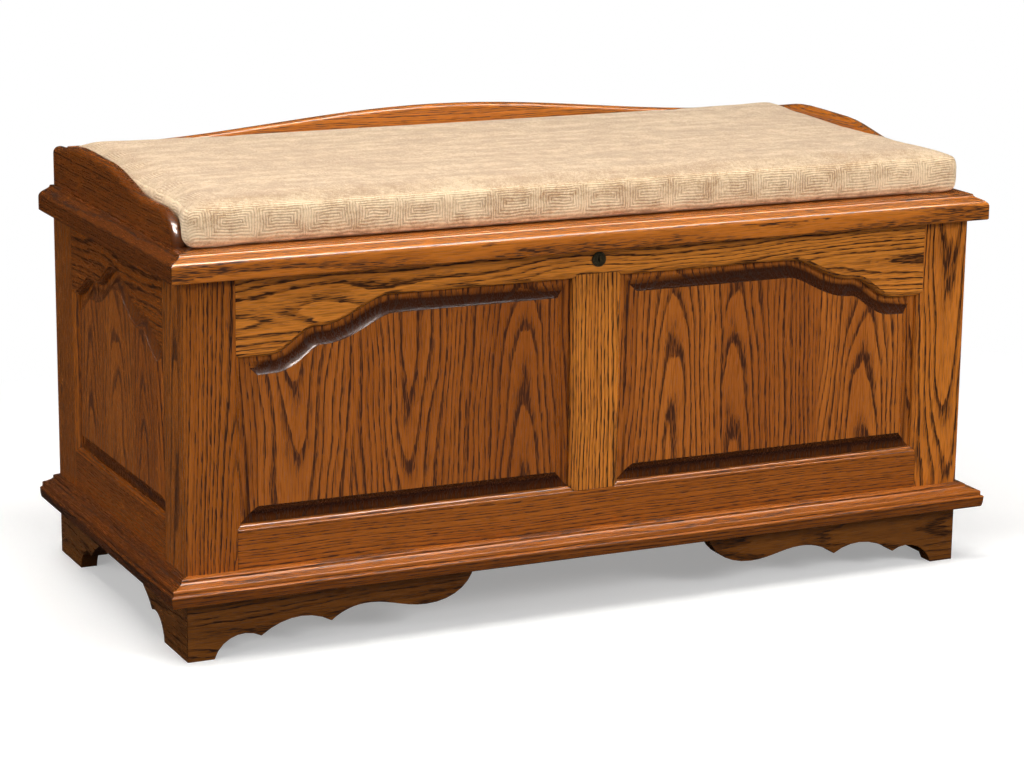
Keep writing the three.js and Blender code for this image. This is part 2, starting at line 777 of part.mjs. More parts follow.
// The lid is a flat panel tongued into a frame whose front and side edges carry an ogee
function lidBoards() {
  const panelUnderside = lidThickness - lidPanelThickness;
  const grooveLow = panelUnderside + (lidPanelThickness - grooveWidth) / 2;
  const grooveHigh = grooveLow + grooveWidth;
  const grooveFloor = lidEdgeWidth - lidTongueLength - panelFloat;
  const ogeeTop = lidThickness - lidOgeeFillet;
  const [lowerOut, lowerUp] = lidOgeeShares.lower;
  const [upperOut, upperUp] = lidOgeeShares.upper;
  const ogeeRise = ogeeTop - lidOgeeBase;
  const ogee = new THREE.CubicBezierCurve(
    new THREE.Vector2(0, lidOgeeBase),
    new THREE.Vector2(lowerOut * lidOgeeWidth, lidOgeeBase + lowerUp * ogeeRise),
    new THREE.Vector2(upperOut * lidOgeeWidth, lidOgeeBase + upperUp * ogeeRise),
    new THREE.Vector2(lidOgeeWidth, ogeeTop),
  );
  const innerEdge = [
    [lidEdgeWidth, lidThickness], [lidEdgeWidth, grooveHigh], [grooveFloor, grooveHigh],
    [grooveFloor, grooveLow], [lidEdgeWidth, grooveLow], [lidEdgeWidth, 0],
  ];
  const profile = [
    [lidEdgeArris, 0], [0, lidEdgeArris],
    ...ogee.getPoints(curveSteps + 1).map((point) => [point.x, point.y]),
    [lidOgeeWidth, lidThickness],
    ...innerEdge,
  ];
  const edges = mitredSurround(
    profile, lidHalfWidth, lidFront, bodyBack, caseTop,
    ['lid_edge_front', 'lid_edge_left', 'lid_edge_right'], oak,
  );

  // The lock's cam stands in a mortise in the underside of the front edge while it is unlocked
  const camSpace = camMortiseClearance;
  const camRoom = block(
    -camWidth / 2 - camSpace, camLength + camSpace, camFront - camSpace, camFront + camThickness + camSpace,
    caseTop - cutOverrun, lockHeight + camLength + camSpace,
  );
  edges[0] = piece('lid_edge_front', carve(edges[0].geometry, [camRoom]), oak);

  // The back edge lies between the side edges and holds the lid leaves of the hinges
  const innerX = lidHalfWidth - lidEdgeWidth;
  const backProfile = [[0, 0], [0, lidThickness], ...innerEdge];
  const backStrip = strip(
    backProfile,
    (inwards, height) => [-innerX, bodyBack - inwards, caseTop + height],
    (inwards, height) => [innerX, bodyBack - inwards, caseTop + height],
  );
  const leafReach = hingeLength / 2 + knuckleGap;
  const leafMortises = [-1, 1].map((sign) => block(
    sign * hingeFromCentre - leafReach, sign * hingeFromCentre + leafReach,
    innerBack - mitreGap, bodyBack + cutOverrun, caseTop - cutOverrun, caseTop + hingeLeafThickness,
  ));
  const innerFrontY = lidFront + lidEdgeWidth;
  const innerBackY = bodyBack - lidEdgeWidth;
  const body = block(
    -innerX, innerX, innerFrontY, innerBackY, caseTop + panelUnderside, lidTop,
  );
  const tongue = block(
    -innerX - lidTongueLength, innerX + lidTongueLength,
    innerFrontY - lidTongueLength, innerBackY + lidTongueLength,
    caseTop + grooveLow + slidingClearance, caseTop + grooveHigh - slidingClearance,
  );
  return [
    ...edges,
    piece('lid_edge_back', carve(backStrip, leafMortises), oak),
    piece('lid_panel', carve(body, [], [tongue]), oak),
  ];
}

// A gallery board: its outline is rounded over on both faces except along the lid and at square
// ends. points runs over the top of the board from its far end to its near one.
function galleryBoard(points, corner, fixEnds) {
  const normals = points.map((point, i) => {
    const before = points[Math.max(0, i - 1)];
    const after = points[Math.min(points.length - 1, i + 1)];
    const along = new THREE.Vector2().subVectors(after, before).normalize();
    return new THREE.Vector2(-along.y, along.x);
  });
  const insetRing = (inset) => points.map((point, i) => {
    const moved = point.clone().addScaledVector(normals[i], inset);
    if (i === 0 || i === points.length - 1) fixEnds(moved, point, inset);
    return [moved.x, moved.y];
  });
  const levels = [];
  for (let i = 0; i <= roundoverSteps; i += 1) {
    const angle = (Math.PI / 2 / roundoverSteps) * i;
    levels.push([galleryRoundover * (1 - Math.sin(angle)), galleryRoundover * (1 - Math.cos(angle))]);
  }
  const farLevels = levels.map(([inset, depth]) => [inset, galleryThickness - depth]).reverse();
  const rings = [...levels, ...farLevels].map(([inset, depth]) => (
    [...corner, ...insetRing(inset)].map(([u, v]) => [u, depth, v])
  ));
  return loft(rings, ([u, , v]) => [u, v]);
}

function gallery() {
  const armPoints = pathFromShares(armOutlineShares, armLength, armHeight);
  const armEnds = (moved, point, inset) => {
    if (point.y === 0) moved.set(point.x - inset, 0);
    else moved.set(0, point.y - inset);
  };
  const arm = galleryBoard(armPoints, [[0, 0]], armEnds);
  const leftArm = laid(arm, [-galleryHalfWidth, bodyBack, lidTop], [0, -1, 0], [1, 0, 0]);
  const rightArm = laid(arm, [galleryHalfWidth, bodyBack, lidTop], [0, -1, 0], [-1, 0, 0]);

  const railHalf = galleryHalfWidth - galleryThickness;
  const crownReach = backRailCrownReachShare * railHalf;
  const railPoints = stationsBetween(railHalf, -railHalf, backRailSteps).map((x) => {
    const turn = Math.PI * Math.min(1, Math.abs(x) / crownReach);
    return new THREE.Vector2(x, backRailEndHeight + (backRailCrownRise * (1 + Math.cos(turn))) / 2);
  });
  const railEnds = (moved, point, inset) => moved.set(point.x, point.y - inset);
  const rail = galleryBoard(railPoints, [[-railHalf, 0], [railHalf, 0]], railEnds);
  const backRail = laid(rail, [0, bodyBack, lidTop], [1, 0, 0], [0, -1, 0]);
  return [
    piece('gallery_arm_left', leftArm, oak),
    piece('gallery_arm_right', rightArm, oak),
    piece('gallery_rail_back', backRail, oak),
  ];
}

// A boxed cushion: its corners stand out, its sides are drawn in between them and its top swells
function cushion() {
  const halfWidth = galleryHalfWidth - galleryThickness - cushionClearance;
  const front = lidFront + cushionFrontSetback;
  const back = bodyBack - galleryThickness - cushionClearance;
  const halfDepth = (back - front) / 2;
  const middleY = (back + front) / 2;
  const outline = (inset) => {
    const points = [];
    const radius = cushionCornerRadius;
    const quarters = [[1, -1], [1, 1], [-1, 1], [-1, -1]];
    quarters.forEach(([signX, signY], q) => {
      const cornerX = signX * (halfWidth - radius);
      const cornerY = signY * (halfDepth - radius);
      for (let i = 0; i <= cushionCornerSteps; i += 1) {
        const angle = (Math.PI / 2) * (q - 1 + i / cushionCornerSteps);
        const reach = radius - inset;
        points.push([cornerX + reach * Math.cos(angle), cornerY + reach * Math.sin(angle)]);
      }
      const next = quarters[(q + 1) % quarters.length];
      const from = points[points.length - 1];
      const towards = [
        next[0] * (halfWidth - radius) + (q % 2 === 0 ? signX * (radius - inset) : 0),
        next[1] * (halfDepth - radius) + (q % 2 === 0 ? 0 : signY * (radius - inset)),
      ];
      for (let i = 1; i < cushionSideSteps; i += 1) {
        const share = i / cushionSideSteps;
        const pull = cushionDrawIn * Math.sin(Math.PI * share);
        const x = from[0] + (towards[0] - from[0]) * share - (q % 2 === 0 ? signX * pull : 0);
        const y = from[1] + (towards[1] - from[1]) * share - (q % 2 === 0 ? 0 : signY * pull);
        points.push([x, y]);
      }
    });
    return points;
  };
  const edge = cushionEdgeRadius;
  const sideLevels = [];
  for (const [lift, sign] of [[edge, -1], [cushionThickness - edge, 1]]) {
    for (let i = 0; i <= roundoverSteps - 1; i += 1) {
      const angle = (Math.PI / 2) * (i / (roundoverSteps - 1));
      const tilt = sign < 0 ? Math.PI / 2 - angle : angle;
      sideLevels.push([cushionSideBulge + edge * (1 - Math.cos(tilt)), lift + sign * edge * Math.sin(tilt)]);
    }
  }
  sideLevels.splice(roundoverSteps, 0, [0, cushionThickness / 2]);
  const rings = sideLevels.map(([inset, height]) => (
    outline(inset).map(([x, y]) => [x, middleY + y, lidTop + height])
  ));
  const topRing = outline(cushionSideBulge + edge);
  for (const share of cushionCrownShares) {
    const lift = cushionCrown * Math.cos((Math.PI / 2) * share * share);
    rings.push(topRing.map(([x, y]) => [x * share, middleY + y * share, lidTop + cushionThickness + lift]));
  }
  return piece('cushion', loft(rings, ([x, y]) => [x, y]), coverCloth);
}

// Butt hinges: leaves let into the case and the lid, knuckles round a pin behind the back
function hinges() {
  const caseMeshes = [];
  const lidMeshes = [];
  const centre = [hingeAxisY, caseTop];
  const pitch = hingeLength / knuckleCount;
  for (const [side, sign] of [['left', -1], ['right', 1]]) {
    const start = sign * hingeFromCentre - hingeLength / 2;
    const end = start + hingeLength;
    const leaf = (isCase) => {
      const low = isCase ? caseTop - hingeLeafThickness : caseTop;
      const high = low + hingeLeafThickness;
      const plate = block(start, end, innerBack, bodyBack, low, high);
      const additions = [];
      for (let k = isCase ? 0 : 1; k < knuckleCount; k += 2) {
        const from = start + k * pitch + (k > 0 ? knuckleGap / 2 : 0);
        const to = start + (k + 1) * pitch - (k + 1 < knuckleCount ? knuckleGap / 2 : 0);
        additions.push(roundBar('x', knuckleRadius, from, to, centre, knuckleSides));
        additions.push(block(from, to, bodyBack - hingeLeafThickness, hingeAxisY, low, high));
      }
      const bore = roundBar(
        'x', hingePinRadius + hingePinClearance, start - cutOverrun, end + cutOverrun, centre, knuckleSides,
      );
      return carve(plate, [bore], additions);
    };
    const pin = roundBar(
      'x', hingePinRadius, start - hingePinOverhang, end + hingePinOverhang, centre, knuckleSides,
    );
    caseMeshes.push(piece(`hinge_${side}_case_leaf`, leaf(true), brass));
    caseMeshes.push(piece(`hinge_${side}_pin`, pin, brass));
    lidMeshes.push(piece(`hinge_${side}_lid_leaf`, leaf(false), brass));
  }
  return { caseMeshes, lidMeshes };
}

// A cam lock: housing and nut in the top rail, plug with its cam, and a hooked strike on the lid
function lock() {
  const axis = [0, lockHeight];
  const flangeFront = bodyFront - lockFlangeThickness;
  const housingBack = innerFront + lockNutThickness;
  const plugBore = lockPlugRadius + lockPlugClearance;
  const housing = carve(
    roundBar('y', lockBarrelRadius, bodyFront - lockFlangeThickness, housingBack, axis),
    [roundBar('y', plugBore, flangeFront - cutOverrun, housingBack + cutOverrun, axis)],
    [roundBar('y', lockFlangeRadius, flangeFront, bodyFront, axis)],
  );
  const nut = carve(
    roundBar('y', lockNutRadius, innerFront, housingBack, axis, nutSides),
    [roundBar(
      'y', lockBarrelRadius + lockBoreClearance, innerFront - cutOverrun, housingBack + cutOverrun, axis,
    )],
  );
  const camBack = camFront + camThickness;
  const plugFront = flangeFront + lockPlugRecess;
  const camEnd = lockHeight + camLength - camWidth / 2;
  const slot = block(
    -keyholeWidth / 2, keyholeWidth / 2, plugFront - cutOverrun, plugFront + keyholeDepth,
    lockHeight - keyholeHeight / 2, lockHeight + keyholeHeight / 2,
  );
  const eye = roundBar(
    'y', keyholeEyeRadius, plugFront - cutOverrun, plugFront + keyholeDepth, axis, knuckleSides,
  );
  const plug = carve(
    roundBar('y', lockPlugRadius, plugFront, camFront, axis),
    [slot, eye],
    [
      roundBar('y', camWidth / 2, camFront, camBack, axis),
      block(-camWidth / 2, camWidth / 2, camFront, camBack, lockHeight, camEnd),
      roundBar('y', camWidth / 2, camFront, camBack, [0, camEnd]),
      roundBar('y', camScrewRadius, camBack, camBack + camScrewHeight, axis, nutSides),
    ],
  );

  const lidInnerFace = lidFront + lidEdgeWidth;
  const lipTop = lockHeight - camWidth / 2 - strikeLipBelowCam;
  const lip = block(
    strikeFromLock, strikeFromLock + strikeWidth, camFront - camMortiseClearance,
    lidInnerFace + strikeThickness, lipTop - strikeThickness, lipTop,
  );
  const plate = block(
    strikeFromLock, strikeFromLock + strikeWidth, lidInnerFace, lidInnerFace + strikeThickness,
    lipTop - strikeThickness, caseTop + strikeRise,
  );
  return {
    housing: piece('lock_housing', housing, darkBronze),
    nut: piece('lock_nut', nut, darkBronze),
    plug: piece('lock_plug', plug, darkBronze),
    strike: piece('lock_strike', carve(plate, [], [lip]), brass),
  };
}

const chest = new THREE.Group();
const caseGroup = new THREE.Group();
const lidGroup = new THREE.Group();
const hingeSet = hinges();
const lockSet = lock();
caseGroup.add(frontFrame(), sideFrame('left'), sideFrame('right'), backFrame());
caseGroup.add(...caseBottom(), ...baseMoulding(), ...feet(), ...hingeSet.caseMeshes);
caseGroup.add(lockSet.housing, lockSet.nut);
lidGroup.add(...lidBoards(), ...gallery(), cushion(), ...hingeSet.lidMeshes, lockSet.strike);
chest.add(caseGroup, lidGroup, lockSet.plug);

export default chest;
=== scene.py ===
# %% [markdown]
# # A blanket chest with a cushioned lid
#
# The solids of this chest are already made: frames and raised panels, mouldings, feet, a lid with a
# low gallery, hinges and a lock. This notebook gives them their looks. It loads the solids, sets up
# the camera and the room, makes the finishes, eases the edges of the boards, and makes the soft and
# the small pieces that a solid can't show well: the cushion, the hinge plates with their screws, and
# the lock. Lengths are in metres, with Z up and the front of the chest towards -Y.

# %% Load the solids
import json
import math

import bmesh
import bpy
from mathutils import Matrix, Vector

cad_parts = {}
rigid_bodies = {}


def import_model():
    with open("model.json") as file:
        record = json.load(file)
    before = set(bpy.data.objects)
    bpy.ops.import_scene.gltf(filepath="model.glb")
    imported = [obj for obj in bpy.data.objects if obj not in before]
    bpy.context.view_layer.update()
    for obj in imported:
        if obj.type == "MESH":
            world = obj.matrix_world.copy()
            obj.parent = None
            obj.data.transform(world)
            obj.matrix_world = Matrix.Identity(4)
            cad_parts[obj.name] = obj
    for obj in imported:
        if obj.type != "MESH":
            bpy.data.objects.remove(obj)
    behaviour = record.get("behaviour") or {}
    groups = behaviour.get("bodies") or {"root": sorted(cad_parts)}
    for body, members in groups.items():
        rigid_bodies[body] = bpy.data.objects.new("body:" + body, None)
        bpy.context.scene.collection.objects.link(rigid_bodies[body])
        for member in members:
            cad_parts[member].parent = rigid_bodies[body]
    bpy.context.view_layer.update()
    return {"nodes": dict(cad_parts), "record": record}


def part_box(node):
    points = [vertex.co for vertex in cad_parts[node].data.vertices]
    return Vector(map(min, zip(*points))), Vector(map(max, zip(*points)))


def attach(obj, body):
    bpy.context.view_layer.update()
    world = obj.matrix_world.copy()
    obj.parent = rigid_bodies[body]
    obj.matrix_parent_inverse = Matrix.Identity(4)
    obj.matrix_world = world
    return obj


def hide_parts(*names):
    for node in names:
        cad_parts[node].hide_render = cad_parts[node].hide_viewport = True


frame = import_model()
scene = bpy.context.scene

# %% [markdown]
# ## The camera
#
# The photograph was taken from the left of the chest, a little above it, through a long lens. A camera
# could be placed by eye and nudged until it looks right. Here its place and turn come from the corners
# of the chest: with their real sizes known, only one place fits where they show in the picture.

# %% Place the camera
def set_out(name, data):
    """A new object, set out in the scene."""
    thing = bpy.data.objects.new(name, data)
    scene.collection.objects.link(thing)
    return thing


camera_place = Vector((-1.65498, -3.46196, 1.16565))
camera_turn, camera_tilt, camera_roll = 0.4458, 0.2373, 0.0116

forward = Vector((
    math.sin(camera_turn) * math.cos(camera_tilt),
    math.cos(camera_turn) * math.cos(camera_tilt),
    -math.sin(camera_tilt),
))
level = Vector((math.cos(camera_turn), -math.sin(camera_turn), 0.0))
upright = level.cross(forward)
right = level * math.cos(camera_roll) + upright * math.sin(camera_roll)
top = upright * math.cos(camera_roll) - level * math.sin(camera_roll)

lens = bpy.data.cameras.new("long_lens")
lens.sensor_width = 36.0
lens.lens = 105.24
camera = set_out("camera", lens)
camera.matrix_world = Matrix.Translation(camera_place) @ Matrix((right, top, -forward)).transposed().to_4x4()
scene.camera = camera
scene.view_settings.view_transform = "Standard"
print("camera", round(camera_place.length, 2), "m from the chest, lens", lens.lens, "mm")

# %% [markdown]
# ## Node helpers
#
# Finishes and room are node trees. A few small helpers keep their recipes readable: one adds a node and
# feeds it, others do arithmetic, take a vector apart, move a value to another range, follow a ramp, read a
# noise, mix two colours or make bumps. They add their node to the tree that their values come from. The
# last ones start an empty finish, end it, and turn a colour as it reads on a screen into the light that
# Blender mixes with.

# %% Define the node helpers
def put(tree, kind, feeds=None, **settings):
    """Adds a node and gives its outputs. Each feed is a plain value or another node's output."""
    node = tree.nodes.new(kind)
    for key, value in settings.items():
        setattr(node, key, value)
    for key, value in (feeds or {}).items():
        if isinstance(value, bpy.types.NodeSocket):
            tree.links.new(value, node.inputs[key])
        else:
            node.inputs[key].default_value = value
    return node.outputs


def home(*values):
    """The tree in which the outputs among these values are."""
    return next(value.id_data for value in values if isinstance(value, bpy.types.NodeSocket))


def sums(operation, *values):
    """The result of one step of arithmetic."""
    return put(home(*values), "ShaderNodeMath", dict(enumerate(values)), operation=operation)[0]


def plus(first, second):
    return sums("ADD", first, second)


def minus(first, second):
    return sums("SUBTRACT", first, second)


def times(first, second, onto=None):
    """A product, or a product added onto a third value."""
    return sums("MULTIPLY", first, second) if onto is None else sums("MULTIPLY_ADD", first, second, onto)


def vectors(operation, *values):
    """The outputs of one step of arithmetic with vectors."""
    return put(home(*values), "ShaderNodeVectorMath", dict(enumerate(values)), operation=operation)


def mapped(vector, **settings):
    """A vector stretched, turned and then moved."""
    return put(home(vector), "ShaderNodeMapping", {"Vector": vector, **settings})["Vector"]


def apart(vector):
    """The three parts of a vector."""
    return put(home(vector), "ShaderNodeSeparateXYZ", {0: vector})


def joined(parts):
    """A vector from its parts, given by their number. A part that isn't given is zero."""
    return put(home(*parts.values()), "ShaderNodeCombineXYZ", parts)[0]


def between(value, low, high, to_low=0.0, to_high=1.0):
    """A value moved from one range to another, and held inside it."""
    feeds = {"Value": value, "From Min": low, "From Max": high, "To Min": to_low, "To Max": to_high}
    return put(home(value), "ShaderNodeMapRange", feeds)["Result"]


def ramp(factor, *stops):
    """A grey that follows stops of (place, grey)."""
    colour = put(home(factor), "ShaderNodeValToRGB", {"Fac": factor})["Color"]
    elements = colour.node.color_ramp.elements
    elements.remove(elements[-1])
    elements[0].position, elements[0].color = stops[0][0], (*[stops[0][1]] * 3, 1.0)
    for place, grey in stops[1:]:
        elements.new(place).color = (grey, grey, grey, 1.0)
    return colour


def noise_at(vector, scale, detail, roughness=0.5):
    """Soft noise at a place: its Fac is one number, its Color three."""
    feeds = {"Vector": vector, "Scale": scale, "Detail": detail, "Roughness": roughness}
    return put(home(vector), "ShaderNodeTexNoise", feeds)


def blended(share, first, second):
    """A colour between two."""
    feeds = {0: share, 6: first, 7: second}  # the numbers of the sockets that mix colours
    return put(home(share), "ShaderNodeMix", feeds, data_type="RGBA")[2]


def bumped(height, strength, distance):
    """The normals of a surface with small heights on it."""
    feeds = {"Height": height, "Strength": strength, "Distance": distance}
    return put(home(height), "ShaderNodeBump", feeds)["Normal"]


def blank_finish(name):
    """A new material and its empty tree."""
    finish = bpy.data.materials.new(name)
    finish.use_nodes = True
    finish.node_tree.nodes.clear()
    return finish, finish.node_tree


def surface(tree, feeds):
    """Ends a finish with the shader that wood, metal and cloth share."""
    put(tree, "ShaderNodeOutputMaterial", {"Surface": put(tree, "ShaderNodeBsdfPrincipled", feeds)[0]})


def paint(red, green, blue):
    """A colour as it reads on a screen, from 0 to 255, as the linear colour that Blender mixes with."""
    linear = [((c / 255 + 0.055) / 1.055) ** 2.4 if c > 10 else c / 255 / 12.92 for c in (red, green, blue)]
    return (*linear, 1.0)


print("a mid grey of 128 is", round(paint(128, 128, 128)[0], 3), "in linear light")

# %% [markdown]
# ## The room
#
# The chest stands on a white floor that runs into a white background. The floor is a plain pale surface
# that takes the chest's shadow, and it fades into pure white away from the chest. That fade could be done
# with a curved backdrop, but a distance read from the floor's own coordinates is simpler and holds from
# any side.
#
# A broad lamp from the right and above lights the front more than the left end, a weaker one fills in
# the left, a low one does so for the back, and a strip hangs overhead. Varnish is a mirror too, and in a
# room that is white all round it would lay a white veil over the wood. So what the varnish mirrors is a
# dim room: a dark floor, dark walls and a brighter, slightly warm patch of ceiling. Its long highlights
# come from two more lamps, one overhead and one at the left, that show in shiny surfaces only.

# %% Make the floor and the background
FLOOR_HALF = 60.0  # far enough to run out of any picture
FADE_FROM, FADE_TO, FADE_SHAPE = 0.55, 1.25, (0.75, 1.0, 1.0)
SHOWN_GREY, SHOWN_LIFT = 0.8, 0.3  # how the floor looks: its grey, and the light added to it
BOUNCED_GREY, MIRRORED_SHARE = 0.26, 0.07  # what it gives the chest back, and how much of that a mirror sees
PURE_WHITE = (1.0, 1.0, 1.0, 1.0)

floor_sheet = bpy.data.meshes.new("floor")
corners = [(x * FLOOR_HALF, y * FLOOR_HALF, 0.0) for x, y in ((-1, -1), (1, -1), (1, 1), (-1, 1))]
floor_sheet.from_pydata(corners, [], [(0, 1, 2, 3)])
floor = set_out("floor", floor_sheet)
floor_finish, tree = blank_finish("white_floor")
place = put(tree, "ShaderNodeTexCoord")["Object"]
away = vectors("LENGTH", mapped(place, Scale=FADE_SHAPE))["Value"]
fade = between(away, FADE_FROM, FADE_TO)
ray = put(tree, "ShaderNodeLightPath")
bounced = times(ray["Is Glossy Ray"], MIRRORED_SHARE - 1.0, 1.0)
grey = joined({n: times(bounced, BOUNCED_GREY) for n in range(3)})
dim = put(tree, "ShaderNodeBsdfDiffuse", {"Color": grey})
lit = put(tree, "ShaderNodeBsdfDiffuse", {"Color": (*[SHOWN_GREY] * 3, 1.0)})
lift = put(tree, "ShaderNodeEmission", {"Color": PURE_WHITE, "Strength": SHOWN_LIFT})
near = put(tree, "ShaderNodeAddShader", {0: lit[0], 1: lift[0]})
white = put(tree, "ShaderNodeEmission", {"Color": PURE_WHITE, "Strength": 1.0})
shown = put(tree, "ShaderNodeMixShader", {0: fade, 1: near[0], 2: white[0]})
plain = put(tree, "ShaderNodeMixShader", {0: ray["Is Camera Ray"], 1: dim[0], 2: shown[0]})
put(tree, "ShaderNodeOutputMaterial", {"Surface": plain[0]})
floor.data.materials.append(floor_finish)
print("floor", floor.dimensions[0], "m wide")

# %% Paint the dim room that the varnish mirrors
CEILING_FROM, CEILING_TO, WALL_GLOW, CEILING_GLOW = 0.75, 1.0, 0.03, 0.6
CEILING_COLOUR, ROOM_COLOUR, ROOM_GLOW = (1.0, 0.88, 0.74, 1.0), (1.0, 0.985, 0.96, 1.0), 0.3
world = bpy.data.worlds.new("studio")
world.use_nodes = True
tree = world.node_tree
tree.nodes.clear()
ray = put(tree, "ShaderNodeLightPath")
background = put(tree, "ShaderNodeBackground", {"Color": PURE_WHITE, "Strength": 1.0})
glow = put(tree, "ShaderNodeBackground", {"Color": ROOM_COLOUR, "Strength": ROOM_GLOW})
height = apart(put(tree, "ShaderNodeTexCoord")["Generated"])[2]
overhead = between(height, CEILING_FROM, CEILING_TO, WALL_GLOW, CEILING_GLOW)
mirrored = put(tree, "ShaderNodeBackground", {"Color": CEILING_COLOUR, "Strength": overhead})
unseen = put(tree, "ShaderNodeMixShader", {0: ray["Is Glossy Ray"], 1: glow[0], 2: mirrored[0]})
seen = plus(ray["Is Camera Ray"], ray["Is Transmission Ray"])
mixed = put(tree, "ShaderNodeMixShader", {0: seen, 1: unseen[0], 2: background[0]})
put(tree, "ShaderNodeOutputWorld", {"Surface": mixed[0]})
scene.world = world
print("the varnish mirrors a ceiling of strength", CEILING_GLOW, "over walls of", WALL_GLOW)

# %% Hang the lamps
LAMPS = (  # place, where it points, its size, its power, its colour, and what never shows its light
    ("key_lamp", (2.2, -3.7, 2.3), (0.1, -0.1, 0.3), (1.8, 1.2), 92, (1.0, 1.0, 1.0), "glossy"),
    ("fill_lamp", (-3.0, -1.0, 1.4), (-0.5, 0.0, 0.3), (1.8, 1.4), 34, (1.0, 1.0, 1.0), "glossy"),
    ("back_lamp", (1.0, 3.2, 1.0), (0.0, 0.2, 0.3), (2.4, 1.2), 30, (1.0, 1.0, 1.0), "glossy"),
    ("overhead_lamp", (-0.4, -0.5, 2.4), (-0.2, -0.1, 0.4), (3.0, 0.13), 54, (1.0, 0.97, 0.93), None),
    ("shine_lamp", (-1.25, -1.0, 2.3), (-0.4, -0.2, 0.35), (1.5, 0.5), 165, (1.0, 0.91, 0.84), "diffuse"),
    ("long_shine_lamp", (0.1, -0.55, 2.4), (0.1, -0.2, 0.4), (3.4, 0.4), 95, (1.0, 0.92, 0.82), "diffuse"),
)
for name, place, target, size, power, colour, hidden_from in LAMPS:
    glass = bpy.data.lights.new(name, "AREA")
    glass.shape = "RECTANGLE"
    glass.size, glass.size_y = size
    glass.energy, glass.color = power, colour
    lamp = set_out(name, glass)
    lamp.location = place
    lamp.rotation_mode = "QUATERNION"
    lamp.rotation_quaternion = (Vector(target) - Vector(place)).to_track_quat("-Z", "Y")
    if hidden_from:
        setattr(lamp, "visible_" + hidden_from, False)

# %% [markdown]
# ## Stained oak
#
# Oak shows its growth rings. A flat picture of grain would slide over corners and look the same on every
# board, so the wood is made as a solid instead: rings round the heart of a log that lies behind the
# board, leaning a little, so that the face cuts them in the pointed arches of flat-sawn oak. Each ring
# starts with a band of open pores, which drink more stain and turn dark. Wide panels are glued up from
# narrower boards, each with its own place in a log.
#
# One node group does this for all boards. Its Vector has the board's width, thickness and grain along
# X, Y and Z, and each piece turns its own coordinates that way with a Mapping node.

# %% Define the grain of oak
LOG_SIZES = ("Ring Width", "Board Width", "Heart Depth", "Heart Aside", "Lean", "Wander")
GRAIN_PARTS = ("Rings", "Pores", "Flecks", "Fibre", "Tone")
NOISES = {  # how fine each is across the grain, how fine along it, and its detail
    "slow": (15.0, 4.5, 1.0), "quick": (75.0, 11.0, 1.0), "ragged": (300.0, 42.0, 2.0),
    "tubes": (820.0, 52.0, 1.0), "flecks": (620.0, 38.0, 1.0), "tone": (28.0, 2.2, 3.0),
    "fibre": (1500.0, 34.0, 2.0),
}
NOISE_ROUGHNESS, NOISE_APART = 0.55, (9.0, 9.0, 9.0)  # how far the noise of two boards can lie apart
LOTTERY = 0.37  # which lottery the random numbers of a board come from
DEPTH_SPREAD, BEHIND_WANDER, QUICK_WANDER, RAGGED_WANDER = 0.35, 0.8, 0.003, 0.0014
YEARS_APART, YEARS_SPREAD = 0.4, 1.6  # how uneven the widths of the rings are
RING = ((0.0, 0.0), (0.06, 0.85), (0.18, 1.0), (0.36, 0.4), (0.6, 0.1), (1.0, 0.0))
WEAKEST_RING, TUBES_SHARE, TONE_SPREAD = 0.65, 0.9, 0.35
TUBES, PORES, FLECKS = (0.38, 0.62), (0.85, 1.35), (0.54, 0.68)  # what counts as none, and as a whole one


def offer(tree, side, kind, *names):
    """Gives a group named inputs or outputs of one kind."""
    for name in names:
        tree.interface.new_socket(name=name, in_out=side, socket_type="NodeSocket" + kind)


